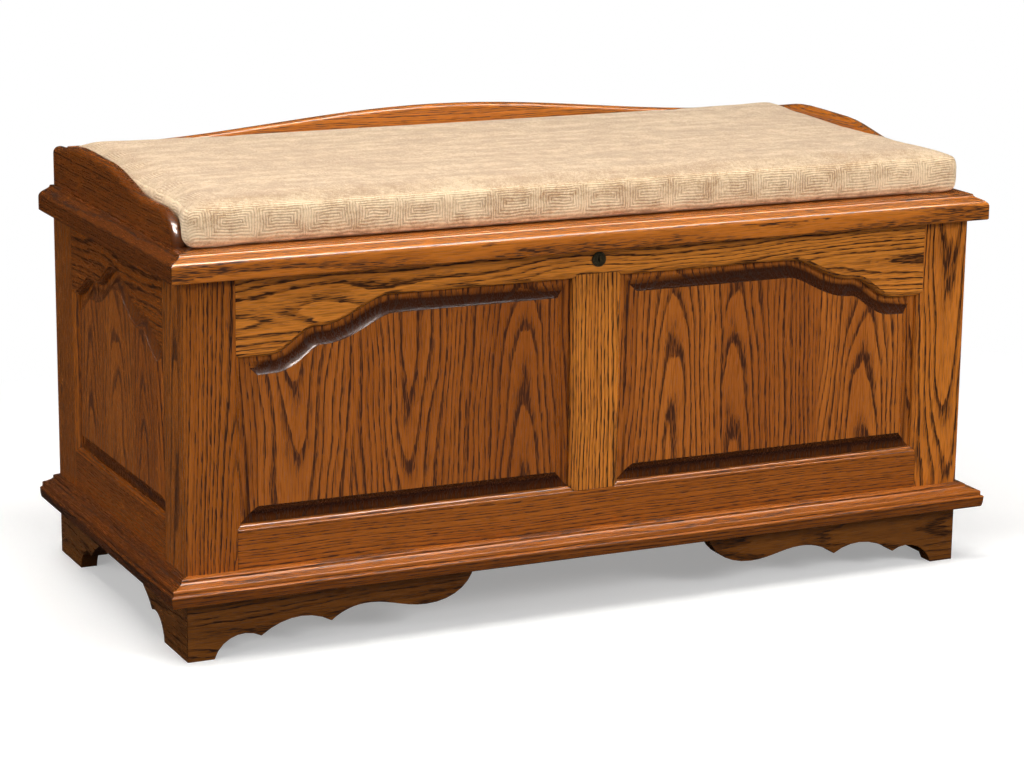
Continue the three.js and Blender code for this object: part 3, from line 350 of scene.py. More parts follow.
def oak_grain_group():
    tree = bpy.data.node_groups.new("oak_grain", "ShaderNodeTree")
    offer(tree, "INPUT", "Vector", "Vector")
    offer(tree, "INPUT", "Float", *LOG_SIZES, "Seed")
    offer(tree, "OUTPUT", "Float", *GRAIN_PARTS)
    given = put(tree, "NodeGroupInput")
    axes = apart(given["Vector"])

    # Which glued-up board this is, and three random numbers for it
    board = sums("FLOOR", plus(sums("DIVIDE", axes[0], given["Board Width"]), 0.5))
    ticket = {"Vector": joined({0: board, 1: given["Seed"], 2: LOTTERY})}
    drawn = put(tree, "ShaderNodeTexWhiteNoise", ticket, noise_dimensions="3D")["Color"]
    chance = apart(drawn)
    signed = [times(chance[i], 2.0, -1.0) for i in range(3)]

    # The heart of the log, beside and behind the board, and leaning along it
    aside = times(times(signed[0], sums("ABSOLUTE", signed[0])), given["Heart Aside"])
    across = minus(minus(axes[0], times(board, given["Board Width"])), aside)
    depth = times(given["Heart Depth"], times(signed[1], DEPTH_SPREAD, 1.0))
    lean = times(given["Lean"], sums("SIGN", signed[2]))
    behind = plus(plus(axes[1], depth), times(axes[2], lean))

    # Trees don't grow round: the rings wander, slowly along the grain and faster across it
    shifted = vectors("MULTIPLY", drawn, NOISE_APART)[0]

    def noise(name):
        fine_across, fine_along, detail = NOISES[name]
        scaled = vectors("MULTIPLY_ADD", given["Vector"], (fine_across, fine_across, fine_along), shifted)[0]
        return noise_at(scaled, 1.0, detail, NOISE_ROUGHNESS)

    slow = apart(noise("slow")["Color"])
    across = times(minus(slow[0], 0.5), given["Wander"], across)
    behind = times(minus(slow[1], 0.5), times(given["Wander"], BEHIND_WANDER), behind)
    behind = times(minus(noise("quick")["Fac"], 0.5), QUICK_WANDER, behind)
    squared = plus(times(across, across), times(behind, behind))
    radius = times(minus(noise("ragged")["Fac"], 0.5), RAGGED_WANDER, sums("SQRT", squared))

    # Rings of uneven width: a sudden start, a dark porous band, and a fade to dense wood
    turns = sums("DIVIDE", radius, given["Ring Width"])
    feeds = {"W": times(turns, YEARS_APART), "Scale": 1.0}
    years = put(tree, "ShaderNodeTexNoise", feeds, noise_dimensions="1D")["Fac"]
    turns = times(years, YEARS_SPREAD, turns)
    ring = ramp(sums("FRACT", turns), *RING)
    year = {"W": sums("FLOOR", turns)}
    strength = put(tree, "ShaderNodeTexWhiteNoise", year, noise_dimensions="1D")["Value"]
    ring = times(ring, times(strength, 1.0 - WEAKEST_RING, WEAKEST_RING))

    # Pores are fine tubes along the grain; flecks are the short dark ends of the wood's rays
    tubes = between(noise("tubes")["Fac"], *TUBES)
    pores = between(times(tubes, TUBES_SHARE, ring), *PORES)
    flecks = between(noise("flecks")["Fac"], *FLECKS)
    tone = times(minus(chance[2], 0.5), TONE_SPREAD, noise("tone")["Fac"])
    fibre = noise("fibre")["Fac"]
    put(tree, "NodeGroupOutput", dict(zip(GRAIN_PARTS, (ring, pores, flecks, fibre, tone))))
    return tree


oak_grain = oak_grain_group()
print("oak grain:", len(oak_grain.nodes), "nodes")

# %% [markdown]
# The stain and the varnish come on top of the grain. Stain gathers in the pores, so a ring is mixed
# towards brown and its pores almost to black. Where a cut runs across the fibres, as in the hollow above
# and below a raised panel, their open ends drink far more stain: that end grain is found by how much the
# surface faces along the grain. Below the field of a raised panel the recess down to the frame is darkened
# as painted shade, in the end grain's colour. The varnish is a clear coat over the wood. It bridges most
# pores, and the ones that stay open break up the shine of the wood below, so they also drive the bump and the
# roughness.

# %% Define stain and varnish
LAID = {  # rows: across the board, through it, along its grain
    "front_upright": ((1, 0, 0), (0, 1, 0), (0, 0, 1)),
    "front_lengthwise": ((0, 0, -1), (0, 1, 0), (1, 0, 0)),
    "side_upright": ((0, -1, 0), (1, 0, 0), (0, 0, 1)),
    "side_lengthwise": ((0, 0, 1), (1, 0, 0), (0, 1, 0)),
    "lid_lengthwise": ((0, 1, 0), (0, 0, 1), (1, 0, 0)),
    "lid_crosswise": ((-1, 0, 0), (0, 0, 1), (0, 1, 0)),
}
STAIN_PARTS = ("pale", "deep", "band", "pore", "end")  # two tones of wood, a dark ring, its pores, end grain (also the colour of painted shade)
STAINS = {
    "warm": ((188, 108, 37), (156, 85, 27), (102, 53, 17), (46, 22, 8), (54, 24, 10)),
    "russet": ((180, 102, 37), (154, 83, 28), (111, 57, 20), (62, 29, 11), (52, 23, 10)),
    "tan": ((171, 97, 33), (147, 79, 24), (106, 54, 18), (58, 27, 10), (50, 22, 9)),
    "tawny": ((194, 112, 41), (166, 91, 32), (114, 59, 21), (58, 27, 11), (50, 23, 11)),
    "honey": ((212, 125, 44), (176, 99, 32), (110, 58, 18), (52, 25, 9), (60, 28, 12)),
    "golden": ((226, 140, 52), (188, 109, 37), (120, 65, 22), (48, 24, 9), (68, 32, 13)),
    "umber": ((152, 80, 19), (126, 63, 12), (88, 43, 8), (46, 21, 4), (58, 27, 9)),
    # a darker copy of the oak for pieces on the left side: painted shade
    "painted_left_shade": ((128, 65, 12), (107, 52, 8), (74, 36, 6), (40, 18, 3), (50, 24, 8)),
    "low": ((134, 80, 30), (108, 62, 23), (78, 42, 15), (44, 22, 8), (46, 22, 10)),
    "bare": ((205, 168, 118), (184, 143, 94), (158, 117, 72), (120, 84, 50), (150, 110, 70)),
}
PAINTED_SHADE_BELOW_FIELD = (-0.001, 0.0, 0.8, 0.0)  # just below the edge of the field and at it, and the painted shade at each
PAINTED_UNDERSIDE_LEAN = (-0.07, -0.01)  # how far a face leans down for the full painted shade, and for none
TONE, FIBRE, END_GRAIN = (0.3, 0.75), (0.42, 0.72, 0.0, 0.4), (0.05, 0.22)  # where each starts and is full
BAND_SHARE, PORE_SHARE, FLECK_SHARE = 0.68, 0.95, 0.34  # how much of its colour each takes
VARNISHED, UNVARNISHED = dict(rough=0.27, coat=0.6), dict(rough=0.62, coat=0.0)
PORES_ROUGHER, FLECK_DEPTH, OAK_BUMP = 0.25, -0.3, (0.3, 0.0003)  # a bump has a strength and a height


def oak_finish(name, low, high, laid, seed, ring=0.0042, board=5.0, heart=0.055, aside=0.09, lean=0.06,
               wander=0.028, stain="warm", thirst=0.5, painted_shade_rise=0.0, under=0.0):
    """Oak for one piece that fills the box from low to high. It can carry painted shade: up to a given
    height in the recess below a raised panel's field, and by a given amount on faces that turn under."""
    colour = {part: paint(*shade) for part, shade in zip(STAIN_PARTS, STAINS[stain])}
    finish, tree = blank_finish(name)
    turn = Matrix(LAID[laid])
    centre, half = (Vector(low) + Vector(high)) / 2, turn @ (Vector(high) - Vector(low)) / 2
    given, turned = put(tree, "ShaderNodeTexCoord"), turn.to_euler("XYZ")
    spot = mapped(given["Object"], Location=-(turn @ centre), Rotation=turned)
    facing = mapped(given["Normal"], Rotation=turned)
    end_grain = between(sums("ABSOLUTE", apart(facing)[2]), *END_GRAIN)

    sizes = dict(zip(LOG_SIZES, (ring, board, heart, aside, lean, wander)))
    grain = put(tree, "ShaderNodeGroup", {"Vector": spot, "Seed": seed, **sizes}, node_tree=oak_grain)
    rings, pores, flecks, fibre, tone = (grain[part] for part in GRAIN_PARTS)
    layers = [
        (between(tone, *TONE), "deep"), (times(rings, BAND_SHARE), "band"), (between(fibre, *FIBRE), "band"),
        (times(pores, PORE_SHARE), "pore"), (times(flecks, FLECK_SHARE), "pore"),
        (times(end_grain, thirst), "end"),
    ]
    # Painted shade in the recess below a raised panel's field, in the end grain's colour
    if painted_shade_rise:
        axes = apart(spot)
        from_side = minus(abs(half.x), sums("ABSOLUTE", axes[0]))
        from_foot = plus(axes[2], abs(half.z))
        over_edge = minus(from_foot, sums("MINIMUM", from_side, painted_shade_rise))
        layers.append((between(over_edge, *PAINTED_SHADE_BELOW_FIELD), "end"))
    # Painted shade on faces that lean downwards, in the end grain's colour
    if under:
        leaning = apart(given["Normal"])[2]
        layers.append((between(leaning, *PAINTED_UNDERSIDE_LEAN, under, 0.0), "end"))
    wood = colour["pale"]
    for share, part in layers:
        wood = blended(share, wood, colour[part])

    hollow = times(times(pores, -1.0, times(flecks, FLECK_DEPTH)), minus(1.0, end_grain))
    coating = UNVARNISHED if stain == "bare" else VARNISHED
    surface(tree, {
        "Base Color": wood, "Roughness": times(pores, PORES_ROUGHER, coating["rough"]),
        "Normal": bumped(hollow, *OAK_BUMP), "Coat Weight": coating["coat"],
        "Specular IOR Level": 0.25, "Coat Roughness": 0.11, "Coat IOR": 1.5,
    })
    return finish


print("ways a board can lie:", len(LAID), "stains:", len(STAINS))

# %% [markdown]
# ## Boards with eased edges
#
# No edge of a real board is razor sharp: sanding and varnish leave it slightly round, and it is this
# narrow round that catches the light as a fine line. The solids have sharp edges, and they are kept as
# they are. Each board gets a copy whose edges are bevelled by about half a millimetre, twice that on the
# lid's edges and the bottom rail, which people touch, and the copy stands for the solid. A bevel only
# works on whole faces, so the copy's loose triangles are first welded together and its flat faces made
# whole.

# %% Define the easing of edges
WELDED_WITHIN, FLAT_WITHIN = 1e-6, math.radians(0.6)
EASED_ABOVE = 38.0  # degrees between two faces from which their edge is eased
SHARP_EDGE = math.radians(32)  # from here on a face isn't shaded into the next one


def as_mesh(shape, name):
    """Ends a shape as a new mesh."""
    mesh = bpy.data.meshes.new(name)
    shape.to_mesh(mesh)
    shape.free()
    return mesh


def eased_copy(node, width, segments=2):
    """A copy of a solid with rounded edges, at the solid's place."""
    shape = bmesh.new()
    shape.from_mesh(frame["nodes"][node].data)
    bmesh.ops.remove_doubles(shape, verts=shape.verts, dist=WELDED_WITHIN)
    bmesh.ops.dissolve_limit(shape, angle_limit=FLAT_WITHIN, verts=shape.verts, edges=shape.edges)
    edges = [e for e in shape.edges if e.is_manifold and math.degrees(e.calc_face_angle(0.0)) > EASED_ABOVE]
    bmesh.ops.bevel(
        shape, geom=edges, offset=width, segments=segments, profile=0.5, affect="EDGES", clamp_overlap=True,
    )
    mesh = as_mesh(shape, node + "_eased")
    mesh.shade_smooth()
    mesh.set_sharp_from_angle(angle=SHARP_EDGE)
    piece = set_out(node + "_eased", mesh)
    weighted = piece.modifiers.new("flat_faces_stay_flat", "WEIGHTED_NORMAL")
    weighted.keep_sharp = True
    return piece


def settle(piece):
    """Makes a piece's modifiers part of its mesh."""
    bpy.context.view_layer.update()
    made = bpy.data.meshes.new_from_object(piece.evaluated_get(bpy.context.evaluated_depsgraph_get()))
    piece.modifiers.clear()
    piece.data = made


record = frame["record"]
BODY_OF = {n: body for body, nodes in record["behaviour"]["bodies"].items() for n in nodes}


def dress(node, piece, finish):
    """Puts a finish on a piece that stands for a solid."""
    piece.data.materials.clear()
    piece.data.materials.append(finish)
    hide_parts(node)
    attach(piece, BODY_OF[node])
    return piece


print("pieces by body:", {b: list(BODY_OF.values()).count(b) for b in sorted(set(BODY_OF.values()))})

# %% [markdown]
# Each board is listed once, with the way its grain runs, the seed that its log is drawn from, the place
# of the log's heart and how much its rings wander. Rails, arms and mouldings come from straight stock
# with the heart far to one side, which gives fine straight lines. Panels come from wide flat-sawn boards
# with the heart close behind the face, which gives the arches.

# %% List the boards
def straight(ring, aside=0.7, wander=0.01, heart=0.05, **rest):
    """A log that gives straight lines."""
    return dict(ring=ring, aside=aside, wander=wander, heart=heart, lean=0.0, **rest)


PLAIN = dict(aside=0.08, lean=0.03)
PANEL = dict(heart=0.05, aside=0.1, lean=0.08)
FRONT_PANEL = dict(ring=0.0065, thirst=0.95, **PANEL)
SIDE_PANEL = dict(board=0.13, ring=0.006, stain="russet", thirst=0.55, **PANEL)
SIDE_RAIL_TOP = straight(0.0036, 0.4, 0.012, heart=0.12, stain="umber")
SIDE_RAIL_BOTTOM = straight(0.0036, stain="umber")
BRACKET = dict(ring=0.0034, heart=0.09, aside=0.04, lean=0.02, wander=0.008, stain="low")
BRACKETS = (
    "front_left", "front_right", "left_front", "left_back",
    "right_front", "right_back", "back_left", "back_right",
)
GLUE_BLOCKS = ("front_left", "front_right", "back_left", "back_right")
BARE = dict(stain="bare")
BOARDS = {
    "front_panel_left": ("front_upright", 3, dict(board=0.15, stain="russet", **FRONT_PANEL)),
    "front_panel_right": ("front_upright", 8, dict(board=0.14, stain="tawny", **FRONT_PANEL)),
    "left_panel": ("side_upright", 14, SIDE_PANEL),
    "right_panel": ("side_upright", 17, SIDE_PANEL),
    "front_stile_left": ("front_upright", 21, dict(aside=0.05, lean=0.03, wander=0.012)),
    "front_stile_right": (
        "front_upright", 22, dict(ring=0.0055, heart=0.035, aside=0.012, lean=0.05, stain="honey"),
    ),
    "front_stile_middle": (
        "front_upright", 23, dict(aside=0.12, heart=0.03, lean=0.03, wander=0.014, stain="golden"),
    ),
    "front_rail_top": ("front_lengthwise", 31, dict(heart=0.035, aside=0.04, lean=0.03, stain="golden")),
    "front_rail_bottom": ("front_lengthwise", 32, straight(0.004, 0.9, 0.012, stain="tan")),
    "left_stile_front": ("side_upright", 41, dict(wander=0.012, **PLAIN)),
    "left_stile_back": ("side_upright", 42, dict(wander=0.012, **PLAIN)),
    "left_rail_top": ("side_lengthwise", 43, SIDE_RAIL_TOP),
    "left_rail_bottom": ("side_lengthwise", 44, SIDE_RAIL_BOTTOM),
    "right_stile_front": ("side_upright", 45, PLAIN),
    "right_stile_back": ("side_upright", 46, PLAIN),
    "right_rail_top": ("side_lengthwise", 47, SIDE_RAIL_TOP),
    "right_rail_bottom": ("side_lengthwise", 48, SIDE_RAIL_BOTTOM),
    "back_stile_left": ("front_upright", 51, PLAIN),
    "back_stile_right": ("front_upright", 52, PLAIN),
    "back_rail_top": ("front_lengthwise", 53, dict(aside=0.08, lean=0.02)),
    "back_rail_bottom": ("front_lengthwise", 54, dict(aside=0.08, lean=0.02)),
    "back_panel": ("front_lengthwise", 55, dict(ring=0.009, heart=0.12, aside=0.05, lean=0.05)),
    **{
        "foot_bracket_" + spot: ("front_lengthwise" if spot[0] in "fb" else "side_lengthwise", seed, BRACKET)
        for seed, spot in enumerate(BRACKETS, 71)
    },
    "lid_edge_front": ("lid_lengthwise", 81, straight(0.0034, 0.6, stain="honey")),
    "lid_edge_back": ("lid_lengthwise", 82, dict(heart=0.06, aside=0.05, lean=0.02)),
    # The left lid edge is darker than the right one: painted shade on the left side
    "lid_edge_left": ("lid_crosswise", 83, straight(0.003, 0.6, 0.008, stain="painted_left_shade")),
    "lid_edge_right": ("lid_crosswise", 84, straight(0.003, 0.6, 0.008)),
    "lid_panel": ("lid_lengthwise", 85, dict(board=0.11, heart=0.06, aside=0.08, lean=0.03)),
    "gallery_rail_back": ("front_lengthwise", 91, straight(0.0034, wander=0.008, stain="honey")),
    # The left arm is darker than the right one: painted shade on the left side
    "gallery_arm_left": ("side_lengthwise", 92, straight(0.0028, wander=0.006, stain="umber")),
    "gallery_arm_right": ("side_lengthwise", 93, straight(0.0028, wander=0.006, stain="honey")),
    "bottom_board": ("lid_lengthwise", 95, dict(board=0.1, stain="bare")),
    "cleat_front": ("front_lengthwise", 96, BARE),
    "cleat_back": ("front_lengthwise", 97, BARE),
    **{"glue_block_" + spot: ("front_upright", seed, BARE) for seed, spot in enumerate(GLUE_BLOCKS, 98)},
}
print("boards listed:", len(BOARDS))

# %% Dress the boards
PANEL_SIDES = {
    "front_panel_left": (0, -1, 0), "front_panel_right": (0, -1, 0),
    "left_panel": (-1, 0, 0), "right_panel": (1, 0, 0),
}
OUTERMOST_WITHIN = 0.0003


def field_foot(node, side):
    """How far above its lower edge the raised field of a panel starts. Its side is the way it faces."""
    spots = [v.co for v in frame["nodes"][node].data.vertices]
    outermost = max(spot.dot(side) for spot in spots) - OUTERMOST_WITHIN
    return min(spot.z for spot in spots if spot.dot(side) > outermost) - min(spot.z for spot in spots)


feet = {node: field_foot(node, Vector(side)) for node, side in PANEL_SIDES.items()}
# The height up to which painted shade darkens the front panels below their fields
print("painted shade below", round(feet["front_panel_left"], 4), "m on the front panels")

EASED = 0.0006
EASED_MORE = {
    "lid_edge_front": 0.0012, "lid_edge_left": 0.0012, "lid_edge_right": 0.0012, "front_rail_bottom": 0.001,
}
# Panels get painted shade in the recess below their fields
for node, (laid, seed, log) in BOARDS.items():
    eased = eased_copy(node, EASED_MORE.get(node, EASED), segments=3 if node in EASED_MORE else 2)
    dress(node, eased, oak_finish(node + "_oak", *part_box(node), laid, seed, painted_shade_rise=feet.get(node, 0.0), **log))
print("boards dressed:", len(BOARDS))

# %% [markdown]
# ## The base moulding
#
# One profile runs round the foot of the case: a small square step, a hollow, and a nose that turns
# under, cut along each length by a shaped knife and mitred where two lengths meet at a front corner.
# The face where the nose turns under is darkened as painted shade. The shape could be
# modelled point by point, three times over. A rule says it better: sweep the profile along a length,
# then slide each end outwards by as much as the profile stands out there, and that is a mitre. Geometry
# Nodes hold the rule, with the sizes as named inputs, so that one tree makes all three lengths.
#
# Two float curves draw the profile. Both run over the same steps round it: one says how far out it
# stands, the other how high. A corner has straight handles, a hollow or a round has smooth ones.

# %% Draw the profile
MOULDING_PROFILE = (  # share of the projection, share of the height, steps to get there, smooth or not
    (0.0, 1.0, 0, False), (0.29, 0.97, 2, False), (0.325, 0.958, 4, True), (0.34, 0.92, 4, False),
    (0.34, 0.85, 2, False), (0.46, 0.79, 6, True), (0.64, 0.745, 6, True), (0.8, 0.725, 6, False),
    (0.855, 0.708, 4, True), (0.875, 0.67, 4, False), (0.875, 0.52, 2, False), (0.96, 0.5, 2, False),
    (0.988, 0.487, 4, True), (1.0, 0.45, 4, False), (0.99, 0.42, 1, False), (0.96, 0.17, 2, True),
    (0.915, 0.04, 5, True), (0.84, 0.0, 5, False), (0.0, 0.0, 2, False),
)
PROFILE_STEPS = sum(point[2] for point in MOULDING_PROFILE)


def profile_curve(tree, turn_share, column):
    """How far out (column 0) or how high (column 1) the profile is, at a share of the way round it."""
    value = put(tree, "ShaderNodeFloatCurve", {"Value": turn_share})["Value"]
    curve = value.node.mapping
    points, step = curve.curves[0].points, 0
    for number, point in enumerate(MOULDING_PROFILE):
        step += point[2]
        place = (step / PROFILE_STEPS, point[column])
        if number == 0:
            points[0].location, spot = place, points[0]
        elif number == len(MOULDING_PROFILE) - 1:
            points[-1].location, spot = place, points[-1]
        else:
            spot = points.new(*place)
        spot.handle_type = "AUTO_CLAMPED" if point[3] else "VECTOR"
    curve.update()
    return value


print("steps round the profile:", PROFILE_STEPS)

# %% Sweep and mitre it
def handed_over(tree, shape, finish):
    """Ends a rule with real faces that have their finish."""
    whole = put(tree, "GeometryNodeRealizeInstances", {"Geometry": shape})[0]
    finished = put(tree, "GeometryNodeSetMaterial", {"Geometry": whole, "Material": finish})[0]
    put(tree, "NodeGroupOutput", {"Geometry": finished})


def moulding_tree():
    tree = bpy.data.node_groups.new("moulding", "GeometryNodeTree")
    offer(tree, "INPUT", "Float", "Length", "Projection", "Height", "Start Mitre", "End Mitre")
    offer(tree, "INPUT", "Vector", "Place", "Turn")
    offer(tree, "INPUT", "Material", "Finish")
    offer(tree, "OUTPUT", "Geometry", "Geometry")
    given = put(tree, "NodeGroupInput")

    ring = put(tree, "GeometryNodeCurvePrimitiveCircle", {"Resolution": PROFILE_STEPS + 1})["Curve"]
    share = sums("DIVIDE", put(tree, "GeometryNodeInputIndex")[0], float(PROFILE_STEPS))
    out = times(profile_curve(tree, share, 0), given["Projection"])
    rise = times(profile_curve(tree, share, 1), given["Height"])
    feeds = {"Geometry": ring, "Position": joined({0: out, 1: rise})}
    profile = put(tree, "GeometryNodeSetPosition", feeds)[0]
    end = joined({2: given["Length"]})
    line = put(tree, "GeometryNodeCurvePrimitiveLine", {"End": end})["Curve"]
    feeds = {"Curve": line, "Profile Curve": profile, "Fill Caps": True}
    swept = put(tree, "GeometryNodeCurveToMesh", feeds)["Mesh"]

    # The sweep stands on end. Lay it down, and slide its ends outwards by the mitre
    axes = apart(put(tree, "GeometryNodeInputPosition")[0])
    at_end = sums("GREATER_THAN", axes[2], times(given["Length"], 0.5))
    start_slide = times(minus(1.0, at_end), given["Start Mitre"])
    slide = minus(times(at_end, given["End Mitre"]), start_slide)
    along = times(slide, axes[0], axes[2])
    laid = joined({0: along, 1: times(axes[0], -1.0), 2: axes[1]})
    length = put(tree, "GeometryNodeSetPosition", {"Geometry": swept, "Position": laid})[0]
    feeds = {"Geometry": length, "Translation": given["Place"], "Rotation": given["Turn"]}
    handed_over(tree, put(tree, "GeometryNodeTransform", feeds)[0], given["Finish"])
    return tree


def grown(name, tree, sizes, seedling=None):
    """The mesh that a tree makes from its named sizes, as a new object."""
    piece = set_out(name, seedling or bpy.data.meshes.new(name))
    rule = piece.modifiers.new("rule", "NODES")
    rule.node_group = tree
    identifiers = {item.name: item.identifier for item in tree.interface.items_tree if item.in_out == "INPUT"}
    for key, value in sizes.items():
        rule[identifiers[key]] = value
    settle(piece)
    shape = bmesh.new()
    shape.from_mesh(piece.data)
    bmesh.ops.remove_doubles(shape, verts=shape.verts, dist=WELDED_WITHIN)
    bmesh.ops.recalc_face_normals(shape, faces=shape.faces)
    shape.to_mesh(piece.data)
    shape.free()
    piece.data.name = name
    piece.data.shade_smooth()
    piece.data.set_sharp_from_angle(angle=SHARP_EDGE)
    return piece


moulding = moulding_tree()
print("moulding rule:", len(moulding.nodes), "nodes")

# %% Fit the three lengths
front_low, front_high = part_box("base_moulding_front")
side_low, side_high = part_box("base_moulding_right")
projection = front_high.y - front_low.y
front_start, side_start = front_low.x + projection, side_low.y + projection
front_length, side_length = front_high.x - front_low.x - 2 * projection, side_high.y - side_start
LENGTHS = {  # the board it is cut from, its length, its mitres, its turn, and where it starts
    "base_moulding_front": (
        ("front_lengthwise", 61, "russet"), front_length, (1.0, 1.0), 0.0,
        (front_start, front_high.y, front_low.z),
    ),
    # the left length is darker than the front and right ones: painted shade on the left side
    "base_moulding_left": (
        ("side_lengthwise", 62, "painted_left_shade"), side_length, (0.0, 1.0), -math.pi / 2,
        (-side_low.x, side_high.y, side_low.z),
    ),
    "base_moulding_right": (
        ("side_lengthwise", 63, "russet"), side_length, (1.0, 0.0), math.pi / 2,
        (side_low.x, side_start, side_low.z),
    ),
}
for node, ((laid, seed, stain), length, mitres, turn, place) in LENGTHS.items():
    # The nose's face that turns under gets painted shade
    finish = oak_finish(node + "_oak", *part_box(node), laid, seed, **straight(0.004, stain=stain, under=0.45))
    piece = grown(node + "_swept", moulding, {
        "Length": length, "Projection": projection, "Height": front_high.z - front_low.z, "Finish": finish,
        "Start Mitre": mitres[0], "End Mitre": mitres[1], "Place": place, "Turn": (0.0, 0.0, turn),
    })
    dress(node, piece, finish)
    corners = [piece.matrix_world @ v.co for v in piece.data.vertices]
    box = [round(f(c[i] for c in corners), 4) for f in (min, max) for i in range(3)]

# %% [markdown]
# ## Hinges and lock
#
# The lid swings on two brass butt hinges. Each leaf is a plate let into the wood, with four countersunk
# screws, and the strike of the lock is a bent brass plate with two. The lock itself is a dark bronze
# cylinder with a keyhole. Brass isn't one flat colour: it is brushed along its length, and it tarnishes
# in patches. Dark bronze is metal under a dark brown skin, so it takes some colour from plain light and
# shows rings left by turning.

# %% Define the metals
BRASS, TARNISHED, SCRATCHED = paint(178, 147, 98), paint(112, 86, 54), paint(206, 180, 132)
BRUSHED_ALONG = (40.0, 2600.0, 2600.0)  # how fine the scratches are along X, across it and through it
TARNISH_SIZE, TARNISH, SCRATCHES = 160.0, (0.48, 0.72, 0.0, 0.65), (0.4, 0.8, 0.0, 0.25)
BRONZE, RUBBED = paint(62, 55, 38), paint(104, 92, 62)
RUBBED_SIZE, RUBBED_FROM, RING_PITCH, RING_SHARE = 300.0, (0.5, 0.75), 0.0006, 0.3
BRASS_ROUGH, BRONZE_ROUGH = (0.25, 0.44), (-0.14, 0.46)  # what tarnish or rubbing adds, and to what
BRASS_BUMP, BRONZE_BUMP = (0.2, 0.0002), (0.25, 0.0002)


def brushed_brass():
    finish, tree = blank_finish("brushed_brass")
    place = put(tree, "ShaderNodeTexCoord")["Object"]
    brushed = noise_at(mapped(place, Scale=BRUSHED_ALONG), 1.0, 2.0)["Fac"]
    tarnish = between(noise_at(place, TARNISH_SIZE, 4.0)["Fac"], *TARNISH)
    brass = blended(tarnish, BRASS, TARNISHED)
    brass = blended(between(brushed, *SCRATCHES), brass, SCRATCHED)
    surface(tree, {
        "Base Color": brass, "Metallic": 0.85, "Roughness": times(tarnish, *BRASS_ROUGH),
        "Normal": bumped(brushed, *BRASS_BUMP),
    })
    return finish


def dark_bronze(centre):
    finish, tree = blank_finish("dark_bronze")
    place = mapped(put(tree, "ShaderNodeTexCoord")["Object"], Location=-centre)
    radius = vectors("LENGTH", vectors("MULTIPLY", place, (1.0, 0.0, 1.0))[0])["Value"]
    turned = sums("SINE", times(radius, 2 * math.pi / RING_PITCH))
    patches = noise_at(place, RUBBED_SIZE, 4.0)["Fac"]
    rubbed = between(patches, *RUBBED_FROM)
    surface(tree, {
        "Base Color": blended(rubbed, BRONZE, RUBBED), "Metallic": 0.35,
        "Roughness": times(rubbed, *BRONZE_ROUGH),
        "Normal": bumped(times(turned, RING_SHARE, patches), *BRONZE_BUMP),
    })
    return finish


lock_low, lock_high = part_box("lock_housing")
brass = brushed_brass()
bronze = dark_bronze((lock_low + lock_high) / 2)
print("metals:", brass.name, bronze.name)

# %% [markdown]
# A countersunk screw needs a hollow in its plate, or its head would be buried in it. The places of the
# screws come first, as the points of a small mesh with the way each head faces. The hollows are cut from
# them in the plates with a Boolean, and the heads are set on them by Geometry Nodes: a cone with a slot,
# turned by a random angle, because a screw stops where it is tight.

# %% Mark the places of the screws
SCREW_HEAD, SCREW_SHANK, SCREW_DEPTH, SCREW_SUNK = 0.0068, 0.0034, 0.0015, 0.00012
SCREW_ROWS = (0.0145, 0.0065)  # the screws of a leaf stand by turns in two rows, this far from its edge
STRIKE_SCREWS, STRIKE_DROP = (0.25, 0.75), 0.006
up, down, inwards = Vector((0, 0, 1)), Vector((0, 0, -1)), Vector((0, 1, 0))
meeting = (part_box("hinge_left_pin")[0].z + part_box("hinge_left_pin")[1].z) / 2
screws_in = {}
for side in ("left", "right"):
    low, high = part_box(f"hinge_{side}_case_leaf")
    for number in range(4):
        across = low.y + SCREW_ROWS[number % 2]
        spot = Vector((low.x + (high.x - low.x) * (number + 0.5) / 4, across, meeting))
        screws_in.setdefault(f"hinge_{side}_case_leaf", []).append((spot, up))
        screws_in.setdefault(f"hinge_{side}_lid_leaf", []).append((spot, down))
low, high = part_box("lock_strike")
screws_in["lock_strike"] = [
    (Vector((low.x + (high.x - low.x) * share, high.y, high.z - STRIKE_DROP)), inwards)
    for share in STRIKE_SCREWS
]
print("screws:", sum(len(spots) for spots in screws_in.values()))

# %% Sink the plates for them
SINK_ROOM, SINK_ABOVE, SINK_BELOW, SINK_TIP = 0.0001, 0.0004, 0.0008, 0.0008
PLATE_EASED, LOCK_EASED = 0.00025, 0.0004


def sink(piece, spots):
    """Cuts a cone for each screw head out of a plate."""
    cones = bmesh.new()
    slope = (SCREW_HEAD - SCREW_SHANK) / 2 / SCREW_DEPTH
    depth = SCREW_DEPTH + SINK_ABOVE + SINK_BELOW
    wide = SCREW_HEAD / 2 + SINK_ROOM + slope * SINK_ABOVE
    for spot, facing in spots:
        turn = up.rotation_difference(facing).to_matrix().to_4x4()
        middle = spot + facing * (SINK_ABOVE - depth / 2)
        bmesh.ops.create_cone(
            cones, cap_ends=True, segments=28, radius1=max(SINK_TIP, wide - slope * depth), radius2=wide,
            depth=depth, matrix=Matrix.Translation(middle) @ turn,
        )
    cutter = set_out("sinking_cones", as_mesh(cones, "sinking_cones"))
    cut = piece.modifiers.new("sunk_holes", "BOOLEAN")
    cut.operation, cut.solver, cut.object = "DIFFERENCE", "EXACT", cutter
    settle(piece)
    piece.data.set_sharp_from_angle(angle=SHARP_EDGE)
    bpy.data.objects.remove(cutter)


for node in ("hinge_left_case_leaf", "hinge_left_lid_leaf", "hinge_right_case_leaf", "hinge_right_lid_leaf",
             "hinge_left_pin", "hinge_right_pin", "lock_strike"):
    plate = eased_copy(node, PLATE_EASED)
    if node in screws_in:
        sink(plate, screws_in[node])
    dress(node, plate, brass)
for node in ("lock_housing", "lock_nut", "lock_plug"):
    dress(node, eased_copy(node, LOCK_EASED, segments=3), bronze)
print("plates sunk:", len(screws_in))

